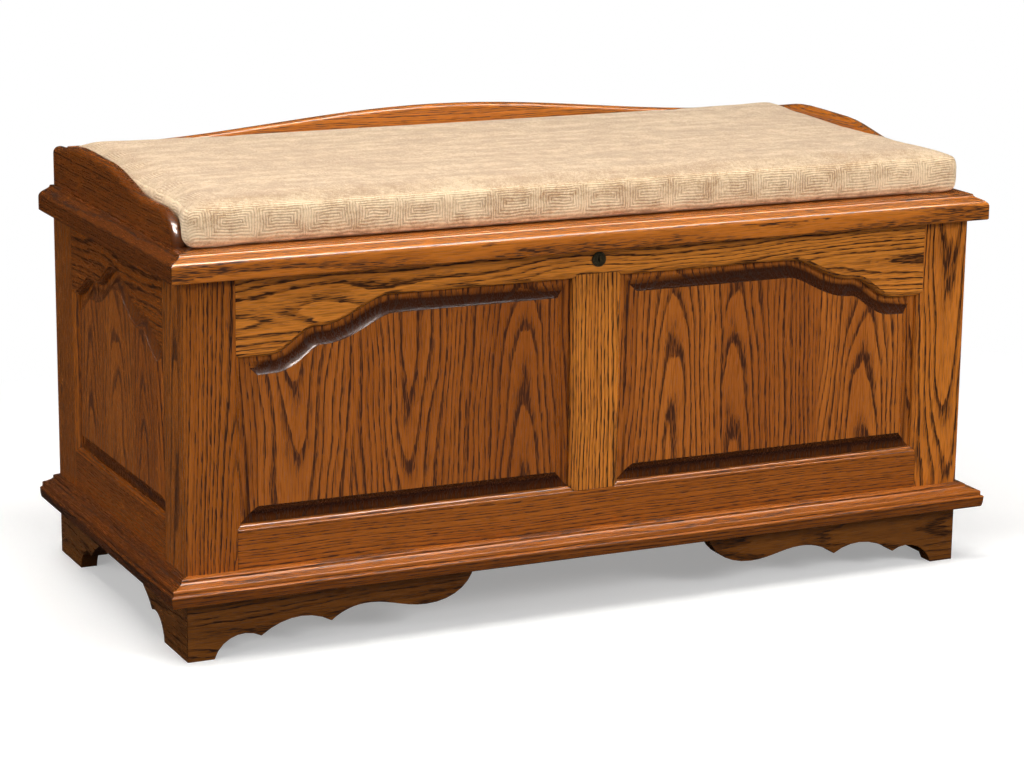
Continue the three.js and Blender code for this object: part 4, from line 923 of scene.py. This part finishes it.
# %% Make and set the screws
def screw_tree():
    tree = bpy.data.node_groups.new("countersunk_screws", "GeometryNodeTree")
    offer(tree, "INPUT", "Geometry", "Places")
    offer(tree, "INPUT", "Float", "Head Width", "Shank Width", "Head Depth", "Sunk")
    offer(tree, "INPUT", "Float", "Slot Width", "Slot Depth")
    offer(tree, "INPUT", "Int", "Seed")
    offer(tree, "INPUT", "Material", "Finish")
    offer(tree, "OUTPUT", "Geometry", "Geometry")
    given = put(tree, "NodeGroupInput")

    # A cone, let in a little, with a slot cut through it
    feeds = {
        "Vertices": 24, "Radius Top": times(given["Head Width"], 0.5),
        "Radius Bottom": times(given["Shank Width"], 0.5), "Depth": given["Head Depth"],
    }
    cone = put(tree, "GeometryNodeMeshCone", feeds)["Mesh"]
    lowered = joined({2: times(plus(given["Head Depth"], given["Sunk"]), -1.0)})
    cone = put(tree, "GeometryNodeTransform", {"Geometry": cone, "Translation": lowered})[0]
    long_side = times(given["Head Width"], 1.5)
    tall_side = times(plus(given["Slot Depth"], given["Sunk"]), 2.0)
    size = joined({0: long_side, 1: given["Slot Width"], 2: tall_side})
    slot = put(tree, "GeometryNodeMeshCube", {"Size": size})["Mesh"]
    feeds = {"Mesh 1": cone, "Mesh 2": slot}
    head = put(tree, "GeometryNodeMeshBoolean", feeds, operation="DIFFERENCE", solver="EXACT")["Mesh"]

    # One on every place, facing as that place does, and turned by a random angle
    faced = put(tree, "GeometryNodeInputNamedAttribute", {"Name": "facing"}, data_type="FLOAT_VECTOR")
    feeds = {"Vector": faced["Attribute"]}
    aimed = put(tree, "FunctionNodeAlignRotationToVector", feeds, axis="Z")["Rotation"]
    feeds = {"Max": math.pi, "Seed": given["Seed"]}
    angle = put(tree, "FunctionNodeRandomValue", feeds, data_type="FLOAT")[1]
    feeds = {"Rotation": aimed, "Rotate By": joined({2: angle})}
    turned = put(tree, "FunctionNodeRotateRotation", feeds, rotation_space="LOCAL")[0]
    feeds = {"Points": given["Places"], "Instance": head, "Rotation": turned}
    handed_over(tree, put(tree, "GeometryNodeInstanceOnPoints", feeds)["Instances"], given["Finish"])
    return tree


countersunk_screws = screw_tree()
for body in ("case", "lid"):
    spots = [spot for node, places in screws_in.items() if BODY_OF[node] == body for spot in places]
    marks = bpy.data.meshes.new(body + "_screw_places")
    marks.from_pydata([spot for spot, _ in spots], [], [])
    facing = marks.attributes.new("facing", "FLOAT_VECTOR", "POINT")
    for number, (_, direction) in enumerate(spots):
        facing.data[number].vector = direction
    screws = grown(body + "_screws", countersunk_screws, {
        "Head Width": SCREW_HEAD, "Shank Width": SCREW_SHANK, "Head Depth": SCREW_DEPTH, "Sunk": SCREW_SUNK,
        "Slot Width": 0.0009, "Slot Depth": 0.0007, "Seed": 7, "Finish": brass,
    }, marks)
    screws.data.materials.clear()
    screws.data.materials.append(brass)
    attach(screws, body)
    print(body, "screws:", len(spots), "heads,", len(screws.data.polygons), "faces")

# %% [markdown]
# ## The cushion
#
# The seat is a foam pad in a sewn cover, pressed between the two arms and the back rail. Foam pushes the
# cover outwards, most where nothing holds it: the top swells, and the long sides draw in between their
# corners. A rounded box would look hard. So a slightly smaller box is blown up as cloth, with air
# pressure in the place of foam, and stopped before it becomes a balloon. It is then pressed flat where
# it rests on the lid and against the arms and the rail, spread over the arms where they end below it, and
# its two front corners are drawn out again, because the seams hold them.

# %% Measure the space for the cushion
cushion_low, cushion_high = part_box("cushion")
arm_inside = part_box("gallery_arm_right")[0].x
rail_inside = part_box("gallery_rail_back")[0].y
lid_face = cushion_low.z
print("space between the arms:", round(2 * arm_inside, 4), "m, lid face at", round(lid_face, 4))

# %% Cut the starting shape
PAD_LOW_SLACK, PAD_HIGH_SLACK = Vector((0.003, 0.004, 0.002)), Vector((0.003, 0.004, 0.005))
PAD_CORNER, PAD_RIM, PAD_GRID = 0.009, 0.008, 0.0075
RIM_ANGLE = 1.0  # radians between two faces from which their edge is a rim


def rounded_box(name, low, high, corner, edge, steps=4):
    """A closed box with round upright corners and round rims."""
    shape = bmesh.new()
    bmesh.ops.create_cube(shape, size=1.0)
    size, centre = high - low, (low + high) / 2
    for vertex in shape.verts:
        vertex.co = Vector([centre[i] + vertex.co[i] * size[i] for i in range(3)])
    uprights = [e for e in shape.edges if abs(e.verts[0].co.z - e.verts[1].co.z) > size.z / 2]
    bmesh.ops.bevel(shape, geom=uprights, offset=corner, segments=steps * 2, profile=0.5, affect="EDGES")
    rims = [e for e in shape.edges if e.is_manifold and e.calc_face_angle(0) > RIM_ANGLE]
    bmesh.ops.bevel(shape, geom=rims, offset=edge, segments=steps, profile=0.5, affect="EDGES")
    bmesh.ops.recalc_face_normals(shape, faces=shape.faces)
    return as_mesh(shape, name)


pad_low, pad_high = cushion_low + PAD_LOW_SLACK, cushion_high - PAD_HIGH_SLACK
pad = set_out("cushion_cover", rounded_box("cushion_cover", pad_low, pad_high, PAD_CORNER, PAD_RIM))
evened = pad.modifiers.new("even_faces", "REMESH")
evened.mode = "VOXEL"
evened.voxel_size = PAD_GRID
evened.use_smooth_shade = True
settle(pad)
print("starting shape:", len(pad.data.polygons), "faces")

# %% Blow it up
CLOTH = dict(
    quality=4, mass=0.4, tension_stiffness=18, compression_stiffness=12, bending_stiffness=1.2,
    use_pressure=True, uniform_pressure_force=4.0,
)
SWELL_FRAMES, SWELL_LIMIT = 20, 0.009


def blown_up(piece, frames, limit):
    before = [v.co.copy() for v in piece.data.vertices]
    cloth = piece.modifiers.new("cover_under_pressure", "CLOTH")
    for key, value in CLOTH.items():
        setattr(cloth.settings, key, value)
    cloth.settings.effector_weights.gravity = 0.0
    cloth.collision_settings.use_collision = False
    cloth.point_cache.frame_start, cloth.point_cache.frame_end = 1, frames
    for number in range(1, frames + 1):
        scene.frame_set(number)
    settle(piece)
    for vertex, start in zip(piece.data.vertices, before):
        move = vertex.co - start
        if move.length > limit:
            vertex.co = start + move * (limit / move.length)
    scene.frame_set(1)


blown_up(pad, SWELL_FRAMES, SWELL_LIMIT)
finer = pad.modifiers.new("finer", "SUBSURF")
finer.levels = finer.render_levels = 1
settle(pad)
print("blown up:", [round(v, 4) for v in pad.dimensions], "m,", len(pad.data.polygons), "faces")

# %% Press it against the lid, the arms and the rail
arm_mesh = frame["nodes"]["gallery_arm_left"].data
arm_tip, arm_back = (f(v.co.y for v in arm_mesh.vertices) for f in (min, max))
ARM_STEPS = 160
arm_outline = [0.0] * (ARM_STEPS + 1)
for edge in arm_mesh.edges:
    near, far = sorted((arm_mesh.vertices[i].co for i in edge.vertices), key=lambda spot: spot.y)
    for step in range(ARM_STEPS + 1):
        y = arm_tip + (arm_back - arm_tip) * step / ARM_STEPS
        if near.y <= y <= far.y:
            share = (y - near.y) / (far.y - near.y) if far.y > near.y else 1.0
            arm_outline[step] = max(arm_outline[step], near.z + (far.z - near.z) * share)


def arm_top(y):
    """How high the arms are at a depth, and below the seat where there is no arm."""
    if y < arm_tip:
        return lid_face - (arm_tip - y)
    step = min(ARM_STEPS - 1e-6, (y - arm_tip) / (arm_back - arm_tip) * ARM_STEPS)
    low = int(step)
    return arm_outline[low] + (arm_outline[low + 1] - arm_outline[low]) * (step - low)


FRONT_HEIGHT, MORE_BEHIND = 0.93, 0.075  # shares of its height that the pressed cover keeps
BACK_CORNER, FRONT_CORNER = (0.86, 0.7), (0.9, 0.16)  # shares of the width and the depth where one starts
BACK_LIFT, LIFTED_ABOVE, CORNER_ASIDE, CORNER_FORWARDS = 0.0035, 0.04, 0.014, 0.005
SIDE_SPREAD, SIDE_POWER = 0.03, 8
WOOD_GAP, ARM_GAP, OVER_ARM, ARM_SLOPE = 0.0004, 0.001, 0.0165, 0.9


def past(value, start, end):
    """How far a value is beyond its start: 0 there, and 1 at its end."""
    return max(0.0, (value - start) / (end - start))


def pressed(spot):
    """Where the cover comes to rest: fuller at the back, spread over the arms where they end below it."""
    depth = (spot.y - cushion_low.y) / (cushion_high.y - cushion_low.y)
    beside = abs(spot.x) / arm_inside
    rise = (spot.z - lid_face) * (FRONT_HEIGHT + MORE_BEHIND * depth)
    back_corner = past(beside, BACK_CORNER[0], 1.0) * past(depth, BACK_CORNER[1], 1.0)
    rise += BACK_LIFT * min(1.0, back_corner) * min(1.0, rise / LIFTED_ABOVE)
    front_corner = past(beside, FRONT_CORNER[0], 1.0) * past(depth, FRONT_CORNER[1], 0.0)
    drawn_out = math.copysign(CORNER_ASIDE * front_corner, spot.x)
    width = spot.x * (1.0 + SIDE_SPREAD * beside ** SIDE_POWER) + drawn_out
    height = max(lid_face, lid_face + rise)
    free = max(0.0, height - arm_top(spot.y) - ARM_GAP)
    reach = arm_inside - WOOD_GAP + min(OVER_ARM, ARM_SLOPE * free)
    forwards = spot.y - CORNER_FORWARDS * front_corner
    return Vector((max(-reach, min(reach, width)), min(forwards, rail_inside - WOOD_GAP), height))


for vertex in pad.data.vertices:
    vertex.co = pressed(vertex.co)
print("pressed:", [round(v, 4) for v in pad.dimensions])

# %% [markdown]
# The cover is a ribbed cloth. Its ribs run in squares, one inside another, so the cloth reads as a row of
# nested frames. On top the pile is crushed, the ribs hardly show, and it is painted browner: crushed pile and
# painted shade.
# The pattern has to wrap over the front edge, so it is drawn on a map of the cloth: one strip goes under,
# up the front and over the top, and two end caps close it, as the real cover is cut.

# %% Lay out the cloth
END_FACING, SEAM_SHARPNESS = 0.72, 5.0


def lay_out_cloth(piece):
    mesh = piece.data
    cloth_map = mesh.uv_layers.new(name="cloth")
    seam = mesh.attributes.new("seam", "FLOAT", "POINT")
    front, back, roof = cushion_low.y, cushion_high.y, cushion_high.z
    for face in mesh.polygons:
        on_end = abs(face.normal.x) > END_FACING
        on_back = face.normal.y > END_FACING
        for loop in face.loop_indices:
            spot = mesh.vertices[mesh.loops[loop].vertex_index].co
            if on_end:
                across, along = spot.y - front, spot.z - roof
            elif on_back:
                across, along = spot.x, (roof - spot.z) + back - front
            else:
                across, along = spot.x, (spot.y - front) - (roof - spot.z)
            cloth_map.uv[loop].vector = (across, along)
    for vertex in mesh.vertices:
        side = abs(vertex.normal.x) - END_FACING
        seam.data[vertex.index].value = max(0.0, 1.0 - abs(side) * SEAM_SHARPNESS)


lay_out_cloth(pad)
pad.data.shade_smooth()
print("cloth map:", pad.data.uv_layers[0].name)

# %% Weave the cover
RIB_PITCH, SQUARE_WIDTH, ROW_HEIGHT, MIDDLE_WIDTH = 0.0036, 0.061, 0.075, 0.011
SQUARE_SHIFT, ROW_SHIFT = 0.25, 0.72  # in squares and rows
WOBBLE = (0.006, 0.005, 0.0)
CRUSHED_PILE_AND_SHADE, RIB_GROOVE, FUZZ = paint(152, 123, 93), paint(140, 94, 52), paint(248, 232, 206)
SAT_ON_AND_SHADED = (0.6, 0.95)  # how far a face looks up, for no crushed pile or painted shade and for all of it
DEEPER, CRUSHED, PATCHY, FUZZY = (
    (0.45, 0.62, 0.0, 0.9), (0.42, 0.62, 0.5, 0.95), (0.38, 0.6, 0.35, 1.0), (0.4, 0.7, 0.0, 0.35),
)  # two limits of a noise, and how much of the wear or the colour shows at them
WORN_SHARE, CRUSHED_SHARE, STREAK_SHARE, FUZZ_SHARE = 0.3, 0.4, 0.3, 0.35
SAT_ON_AND_SHADED_DEEPER, SAT_ON_SMOOTHER, GROOVE_SHARE, SEAM_DEPTH = 0.03, -0.45, 0.75, -2.0
CLOTH_BUMP = (0.55, 0.0009)


def ribbed_cloth(name, pale, deep):
    finish, tree = blank_finish(name)
    given = put(tree, "ShaderNodeTexCoord")
    place = given["Object"]
    cloth_map = put(tree, "ShaderNodeUVMap", uv_map="cloth")["UV"]
    centred = vectors("SUBTRACT", noise_at(place, 45.0, 2.0)["Color"], (0.5, 0.5, 0.5))[0]
    axes = apart(vectors("MULTIPLY_ADD", centred, WOBBLE, cloth_map)[0])

    def from_middle(value, period, shift):
        turned = plus(sums("DIVIDE", value, period), shift)
        return times(sums("ABSOLUTE", minus(sums("FRACT", turned), 0.5)), period)

    # Ribs in squares, one inside another
    beside = minus(from_middle(axes[0], SQUARE_WIDTH, SQUARE_SHIFT), MIDDLE_WIDTH)
    frames = sums("MAXIMUM", beside, from_middle(axes[1], ROW_HEIGHT, ROW_SHIFT))
    rib = times(sums("COSINE", times(frames, 2 * math.pi / RIB_PITCH)), 0.5, 0.5)

    # Wear, more of it on top, and painted shade where faces look up
    fuzz = noise_at(place, 900.0, 2.0)["Fac"]
    worn = noise_at(place, 38.0, 4.0, 0.6)["Fac"]
    streak = noise_at(mapped(place, Scale=(9.0, 60.0, 60.0)), 1.0, 3.0)["Fac"]
    crushed = noise_at(place, 210.0, 3.0, 0.7)["Fac"]
    # Faces that look up are darkened: crushed pile in patches, and painted shade on top
    sat_on_and_shaded = between(apart(given["Normal"])[2], *SAT_ON_AND_SHADED)
    mottled = times(streak, STREAK_SHARE, times(crushed, CRUSHED_SHARE, times(worn, WORN_SHARE)))
    patchy = times(between(worn, *PATCHY), times(sat_on_and_shaded, SAT_ON_SMOOTHER, 1.0))
    groove = times(sums("POWER", minus(1.0, rib), 2.0), patchy)

    cloth = paint(*pale)
    for share, colour in (
        (between(times(sat_on_and_shaded, SAT_ON_AND_SHADED_DEEPER, mottled), *DEEPER), paint(*deep)),
        (times(sat_on_and_shaded, between(mottled, *CRUSHED)), CRUSHED_PILE_AND_SHADE),
        (times(groove, GROOVE_SHARE), RIB_GROOVE),
        (between(fuzz, *FUZZY), FUZZ),
    ):
        cloth = blended(share, cloth, colour)
    seam = put(tree, "ShaderNodeAttribute", attribute_name="seam", attribute_type="GEOMETRY")["Fac"]
    height = times(sums("POWER", seam, 3.0), SEAM_DEPTH, times(fuzz, FUZZ_SHARE, rib))
    surface(tree, {
        "Base Color": cloth, "Roughness": 0.93, "Normal": bumped(height, *CLOTH_BUMP),
        "Sheen Weight": 0.25, "Sheen Roughness": 0.5, "Sheen Tint": (1.0, 0.94, 0.84, 1.0),
        "Specular IOR Level": 0.2,
    })
    return finish


cover_cloth = ribbed_cloth("cushion_cloth", (235, 210, 172), (184, 143, 101))
dress("cushion", pad, cover_cloth)
print("cushion dressed")
